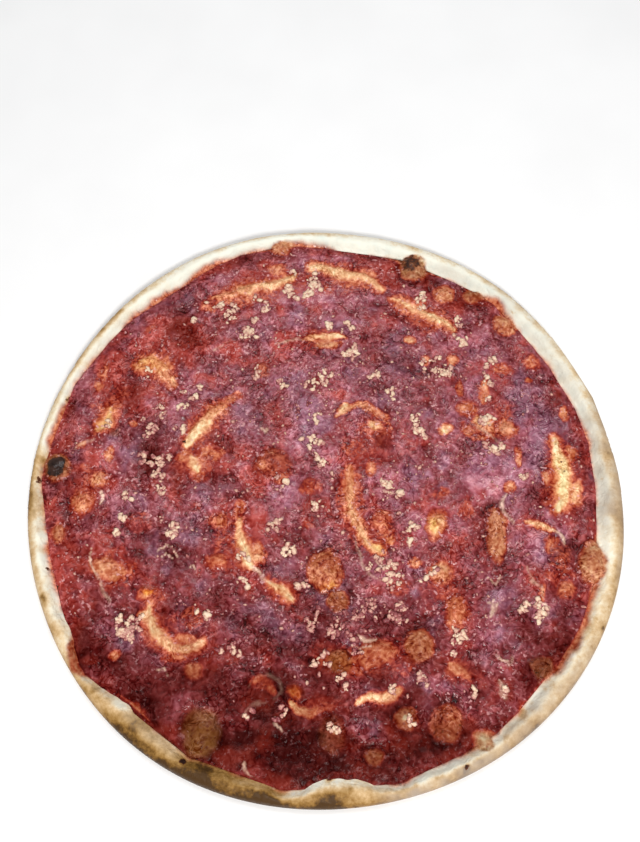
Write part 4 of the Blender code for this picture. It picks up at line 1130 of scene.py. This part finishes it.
def make_grit(material):
    """Fine garlic scattered over the sauce in loose clumps, most of it over the middle."""
    rng = np.random.default_rng(CRUMB_SEED + 1)
    x, y = rng.uniform(-GRIT_REACH, GRIT_REACH, (2, 12 * GRIT_COUNT))
    clumpy = smooth(0.5 + 0.9 * grain(x, y, 9.0, 89, 3))
    middle = np.exp(-(ellipse_share(x, y, *GRIT_MIDDLE) ** 2))
    likely = (0.08 + 0.92 * middle) * (0.1 + 0.9 * clumpy**2) * (0.05 + 0.95 * ease(y, -120, 60))
    chosen = np.flatnonzero(rng.random(len(x)) < likely)[:GRIT_COUNT]
    chosen = chosen[Surface(x[chosen], y[chosen]).bare() < GRIT_BARE]
    size = rng.uniform(*GRIT_RADIUS, len(chosen)) * np.where(rng.random(len(chosen)) < 0.1, 1.5, 1.0)
    spots = list(zip(x[chosen], y[chosen], size, np.zeros(len(chosen))))
    return add_grains("garlic_grit", spots, 1, rng, material, GRIT_STAIN)


def colour(red, green, blue):
    """The linear colour of one given as it looks on a screen, from 0 to 255."""
    share = np.array((red, green, blue)) / 255
    linear = np.where(share <= 0.04045, share / 12.92, ((share + 0.055) / 1.055) ** 2.4)
    return (*linear.tolist(), 1.0)


WHITE = colour(255, 255, 255)

# The darkest colour of the sauce, as a screen shows it from 0 to 1, and the screen's gamma
DARKEST = (0.03, 0.02, 0.02)
SCREEN_GAMMA = 2.2

# Between which values nearly all of a noise node's results lie
NOISE_RANGE = (0.27, 0.73)


class Value:
    """A node's output in a material, with the sums that the material needs."""

    def __init__(self, shader, socket):
        self.shader, self.socket = shader, socket

    def maths(self, operation, other=0.0):
        """The result of an operation of the Math node."""
        return self.shader.node("Math", {0: self, 1: other}, operation=operation)

    def __add__(self, other):
        return self.maths("ADD", other)

    def __sub__(self, other):
        return self.maths("SUBTRACT", other)

    def __mul__(self, other):
        return self.maths("MULTIPLY", other)

    def span(self, low, high, to_low=0.0, to_high=1.0):
        """Eases from to_low to to_high as the value goes from low to high."""
        inputs = {"Value": self, "From Min": low, "From Max": high, "To Min": to_low, "To Max": to_high}
        return self.shader.node("MapRange", inputs, interpolation_type="SMOOTHSTEP")

    def ramp(self, *stops):
        """The colour between stops, each a value and its colour."""
        made = self.shader.node("ValToRGB", {"Fac": self})
        elements = made.socket.node.color_ramp.elements
        while len(elements) < len(stops):
            elements.new(0.5)
        for element, (at, shade) in zip(elements, stops):
            element.position = at
            element.color = shade
        return made


class Shader:
    """A material's nodes. An input takes a number, a colour or a Value."""

    def __init__(self, name):
        self.material = bpy.data.materials.new(name)
        self.material.use_nodes = True
        self.tree = self.material.node_tree
        self.surface = self.tree.nodes["Principled BSDF"]
        self.place = Value(self, self.tree.nodes.new("ShaderNodeTexCoord").outputs["Object"])

    def set(self, socket, value):
        """Links a Value to the socket, or sets it to a number or colour."""
        if isinstance(value, Value):
            self.tree.links.new(value.socket, socket)
        else:
            socket.default_value = value

    def finish(self, inputs):
        """Sets inputs of the surface itself."""
        for key, value in inputs.items():
            self.set(self.surface.inputs[key], value)

    def node(self, kind, inputs, output=0, **settings):
        """The output of a new node."""
        made = self.tree.nodes.new("ShaderNode" + kind)
        for key, value in settings.items():
            setattr(made, key, value)
        for key, value in inputs.items():
            self.set(made.inputs[key], value)
        return Value(self, made.outputs[output])

    def attribute(self, name):
        """One of the looks stored at the mesh's points."""
        return self.node("Attribute", {}, "Fac", attribute_name=name)

    def noise(self, length, detail=2.0, roughness=0.5, distortion=0.0):
        """Noise from 0 to 1 whose features are that many millimetres apart."""
        inputs = {"Vector": self.place, "Scale": 1 / (length * MM)}
        inputs |= {"Detail": detail, "Roughness": roughness, "Distortion": distortion}
        made = self.node("TexNoise", inputs, "Fac")
        low, high = NOISE_RANGE
        return self.node("MapRange", {"Value": made, "From Min": low, "From Max": high})

    def cells(self, length):
        """Distance to the nearest of points that are that many millimetres apart."""
        return self.node("TexVoronoi", {"Vector": self.place, "Scale": 1 / (length * MM)}, "Distance")

    def lines(self, length, distortion, width):
        """Winding lines, where 1 is their middle, about that many millimetres apart."""
        away = (self.noise(length, 1, 0.5, distortion) - 0.5).maths("ABSOLUTE")
        return away.span(0.0, width, 1.0, 0.0)

    def winding(self):
        """Winding ridges and creases: 1 on a ridge and -1 in a crease."""
        ridges = self.lines(6.2, 1.2, 0.13) * self.noise(11, 1).span(0.3, 0.7)
        creases = self.lines(7.0, 1.6, 0.15) * self.noise(13, 1).span(0.3, 0.7)
        return ridges - creases

    def wrinkles(self):
        """The lumps and wrinkles that the sauce's colour and relief share, partly as painted light and
        shade.
        """
        return self.noise(3.4, 1, 0.4, 0.9)

    def lighten(self, shade, amount):
        """The colour with the same amount added to its red, green and blue as a screen shows them."""
        shown = self.node("Gamma", {"Color": shade, "Gamma": 1 / SCREEN_GAMMA})
        shown = self.node("VectorMath", {0: shown, 1: amount}, operation="ADD")
        shown = self.node("VectorMath", {0: shown, 1: DARKEST}, operation="MAXIMUM")
        return self.node("Gamma", {"Color": shown, "Gamma": SCREEN_GAMMA})

    def mix(self, share, first, second, blend="MIX"):
        """The first colour, which becomes the second as the share goes from 0 to 1."""
        return self.node("Mix", {0: share, 6: first, 7: second}, 2, data_type="RGBA", blend_type=blend)

    def multiply(self, share, shade, tint):
        """The colour, multiplied by a tint as far as the share says."""
        return self.mix(share, shade, tint, "MULTIPLY")

    def bump(self, height, distance, strength, **under):
        """The surface's normal with that relief, which may lie over the Normal of coarser relief."""
        inputs = {"Height": height, "Distance": distance * MM, "Strength": strength}
        return self.node("Bump", inputs | under)


def paste_colour(shader, tone, relief, lumps):
    """Thick sauce, from dark to pale, with orange and bluish places; the pale lilac is painted sheen."""
    warm = shader.attribute("warm") + shader.noise(5.0, 1, 0.5, 0.6) * 0.24
    # Painted light and shade: lumps and relief are painted paler on top and darker in creases.
    paste = (relief * 0.16 + lumps * 0.13 + tone - 0.06).ramp(
        (0.00, colour(58, 12, 10)),
        (0.22, colour(96, 31, 30)),
        (0.44, colour(124, 50, 54)),
        (0.64, colour(148, 74, 82)),
        (0.84, colour(174, 100, 114)),
        (1.00, colour(204, 140, 152)),
    )
    orange = shader.mix(tone.span(0.1, 0.6), colour(110, 33, 24), colour(180, 66, 52))
    paste = shader.mix(warm.span(0.56, 1.0, 0.0, 0.75), paste, orange)
    # Painted sheen: the bluish lilac stands for cool light reflected off the wet sauce.
    bluish = shader.mix(tone.span(0.2, 0.65), colour(76, 38, 46), colour(144, 102, 124))
    return shader.mix(warm.span(0.56, 0.18, 0.0, 0.55) * tone.span(0.2, 0.45), paste, bluish)


def thin_colour(level):
    """Sauce that thins out to bare dough."""
    return level.ramp(
        (0.06, colour(120, 30, 26)),
        (0.18, colour(148, 48, 38)),
        (0.30, colour(174, 74, 52)),
        (0.44, colour(198, 108, 74)),
        (0.60, colour(216, 140, 100)),
        (0.78, colour(230, 176, 128)),
        (0.96, colour(240, 216, 170)),
    )


def add_browning(shader, shade, painted_shade):
    """The colour with browned blisters, which have freckles, darkened by painted shade."""
    brown = shader.attribute("brown")
    baked = shader.mix(shader.noise(5, 2), colour(110, 60, 36), colour(152, 102, 66))
    # Painted shade darkens the browned dough too, mostly towards the front.
    shade = shader.mix(brown * 0.85, shade, shader.multiply(1.0, baked, painted_shade))
    freckles = shader.cells(2.6).span(0.16, 0.42, 1.0, 0.0) * shader.noise(6, 1).span(0.2, 0.5)
    return shader.multiply(brown.span(0.02, 0.2, 0.0, 0.7) * freckles, shade, colour(186, 120, 112))


def topping_colour(shader):
    """The colour from thick sauce over thin sauce to bare browned dough, and how bare it is."""
    bare, tone, relief = (shader.attribute(name) for name in ("bare", "tone", "relief"))
    lumps = shader.wrinkles()
    fine = shader.noise(1.7, 0, 0.5, 0.6)
    level = bare + (lumps * 0.6 + fine * 0.4 - 0.5) * 0.28 * bare.span(0.02, 0.35)
    # Painted shade: greyer and darker where the tone is low, mostly towards the front.
    painted_shade = shader.mix(tone.span(0.05, 0.45), colour(206, 204, 202), WHITE)
    thin = shader.multiply(1.0, thin_colour(level), painted_shade)
    shade = shader.mix(level.span(0.04, 0.26), paste_colour(shader, tone, relief, lumps), thin)
    shade = add_browning(shader, shade, painted_shade)
    # Dark ring round blisters and folds: partly cooked-down sauce, partly painted shade at their feet.
    shade = shader.multiply(shader.attribute("ring"), shade, colour(166, 104, 90))
    shade = shader.multiply(shader.attribute("oil"), shade, colour(255, 250, 130))
    # Pale shreds and curls of dough, and painted highlights on glossy streaks.
    shade = shader.mix(shader.attribute("shred_and_glint") * 0.8, shade, colour(222, 184, 160))
    # Painted highlights on lumps and ridges and painted shade in creases, added as grey.
    light = relief * 0.055 + lumps * 0.12 + fine * 0.085 + shader.winding() * 0.15 - 0.108
    return shader.lighten(shade, light * tone.span(0.0, 0.5, 0.40, 1.0)), level


def add_char(shader, shade):
    """The colour with burnt places, which are singed at their edges."""
    burnt = shader.attribute("char")
    level = burnt + (shader.noise(2.2, 3, 0.6) - 0.5) * 0.7 * burnt.span(0.02, 0.3)
    singed = shader.mix(level.span(0.10, 0.45), shade, colour(96, 46, 20))
    coal = shader.mix(shader.noise(3.0, 2), colour(22, 11, 9), colour(66, 43, 36))
    return shader.mix(level.span(0.35, 0.70), singed, coal)


def rim_colour(shader):
    """The rim, from floury white to tan to dark brown."""
    fine = shader.noise(1.8, 3, 0.6)
    level = shader.attribute("bake") + (fine - 0.5) * 0.22
    shade = level.ramp(
        (0.05, colour(246, 240, 222)),
        (0.18, colour(238, 222, 192)),
        (0.32, colour(226, 200, 160)),
        (0.46, colour(208, 174, 128)),
        (0.60, colour(184, 148, 98)),
        (0.75, colour(154, 116, 62)),
        (0.88, colour(116, 82, 36)),
        (1.00, colour(76, 52, 26)),
    )
    white = shader.mix(shader.noise(6, 2), colour(232, 237, 225), colour(250, 248, 232))
    powder = shader.attribute("flour") * level.span(0.15, 0.5, 1.0, 0.15) * fine.span(0.25, 0.5, 0.7, 1.0)
    # Greyer rim: painted shade on the right side, and dust on the lower right.
    return shader.mix(shader.attribute("dull"), shader.mix(powder, shade, white), colour(172, 156, 140))


def finish_topping(shader, shade, level, rim):
    """Wet where the sauce is thick, drier on bare dough, and dull on the rim."""
    tone = shader.attribute("tone")
    wet = shader.noise(5, 3).span(0.2, 0.8, 0.3, 0.5)
    shine = level.span(0.3, 0.9, tone.span(0.15, 0.6, 0.02, 0.10), 0.25)
    coat = level.span(0.3, 0.9, tone.span(0.15, 0.6, 0.03, 0.30), 0.06)
    if rim:
        shine = rim.span(0.2, 0.8, shine, 0.12)
        coat = rim.span(0.2, 0.8, coat, 0.0)
    wrinkled = shader.bump(shader.wrinkles(), 0.40, level.span(0.2, 0.8, 1.0, 0.5))
    shader.finish({
        "Base Color": add_char(shader, shade),
        "Roughness": level.span(0.2, 0.8, wet, 0.5),
        "Normal": shader.bump(shader.winding(), 0.16, level.span(0.2, 0.8, 1.0, 0.4), Normal=wrinkled),
        "Specular IOR Level": shine,
        "Coat Normal": wrinkled,
        "Coat Weight": coat,
        "Coat Roughness": 0.13,
    })
    return shader.material


def make_dough_material():
    shader = Shader("baked dough")
    topping, level = topping_colour(shader)
    rim = shader.attribute("rim")
    shade = shader.mix(rim, topping, rim_colour(shader))
    return finish_topping(shader, shade, level.maths("MAXIMUM", rim), rim)


def make_sauce_material():
    shader = Shader("tomato sauce")
    shade, level = topping_colour(shader)
    specks = shader.noise(1.9, 1, 0.5).span(0.74, 0.95) * shader.noise(10, 2).span(0.3, 0.7, 0.0, 0.7)
    specks = specks * shader.attribute("tone").span(0.15, 0.5, 0.15, 1.0)
    return finish_topping(shader, shader.mix(specks, shade, colour(222, 164, 164)), level, None)


def make_garlic_material():
    shader = Shader("garlic")
    shade = (shader.attribute("stain") + (shader.noise(1.0, 2) - 0.5) * 0.4).ramp(
        (0.08, colour(242, 216, 187)),
        (0.35, colour(229, 192, 164)),
        (0.60, colour(205, 152, 136)),
        (0.80, colour(174, 101, 98)),
        (1.00, colour(128, 54, 58)),
    )
    shader.finish({
        "Base Color": shade,
        "Roughness": shader.noise(0.8, 1).span(0.3, 0.7, 0.3, 0.55),
        "Normal": shader.bump(shader.noise(0.5, 1), 0.2, 0.5),
    })
    return shader.material


def make_camera():
    camera = bpy.data.cameras.new("camera")
    camera.lens = LENS
    camera.sensor_width = SENSOR
    camera.sensor_fit = "AUTO"
    camera.clip_start = 0.01
    holder = bpy.data.objects.new("camera", camera)
    forward = Vector(CAMERA_FORWARD).normalized()
    right = Vector(CAMERA_RIGHT).normalized()
    turned = Matrix((right, right.cross(forward), -forward)).transposed().to_4x4()
    holder.matrix_world = Matrix.Translation(CAMERA_PLACE) @ turned
    bpy.context.scene.collection.objects.link(holder)
    bpy.context.scene.camera = holder


def add_light(name, place, size, radiance, tint):
    """A rectangle of light at a place in metres that faces the pizza."""
    light = bpy.data.lights.new(name, "AREA")
    light.shape = "RECTANGLE"
    light.size, light.size_y = size
    light.energy = radiance * math.pi * size[0] * size[1]
    light.color = tint
    holder = bpy.data.objects.new(name, light)
    holder.location = place
    holder.rotation_euler = Vector(place).to_track_quat("Z", "Y").to_euler()
    bpy.context.scene.collection.objects.link(holder)


def make_sky():
    world = bpy.data.worlds.new("studio")
    world.use_nodes = True
    background = world.node_tree.nodes["Background"]
    background.inputs["Color"].default_value = SKY_COLOUR
    background.inputs["Strength"].default_value = SKY_STRENGTH
    bpy.context.scene.world = world
    bpy.context.scene.view_settings.view_transform = "Standard"
    bpy.context.scene.view_settings.look = "None"


def make_floor():
    shader = Shader("studio floor")
    tone = shader.mix(shader.noise(60, 2), (0.93, 0.93, 0.93, 1), (0.97, 0.97, 0.97, 1))
    shader.finish({"Base Color": tone, "Roughness": 0.9})
    mesh = bpy.data.meshes.new("floor")
    half = FLOOR_SIZE / 2
    corners = [(-half, -half, 0), (half, -half, 0), (half, half, 0), (-half, half, 0)]
    mesh.from_pydata(corners, [], [(0, 1, 2, 3)])
    mesh.materials.append(shader.material)
    floor = bpy.data.objects.new("floor", mesh)
    bpy.context.scene.collection.objects.link(floor)


def place_piece(piece, node):
    """Puts the piece on the body in place of a node of the solids."""
    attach(piece, "root")
    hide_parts(node)


make_camera()
for name, light in LIGHTS.items():
    add_light(name, *light)
make_sky()
make_floor()
place_piece(make_dough(make_dough_material()), "crust")
place_piece(make_sauce(make_sauce_material()), "sauce")
garlic = make_garlic_material()
place_piece(make_crumbs(garlic), "sauce")
place_piece(make_grit(garlic), "sauce")
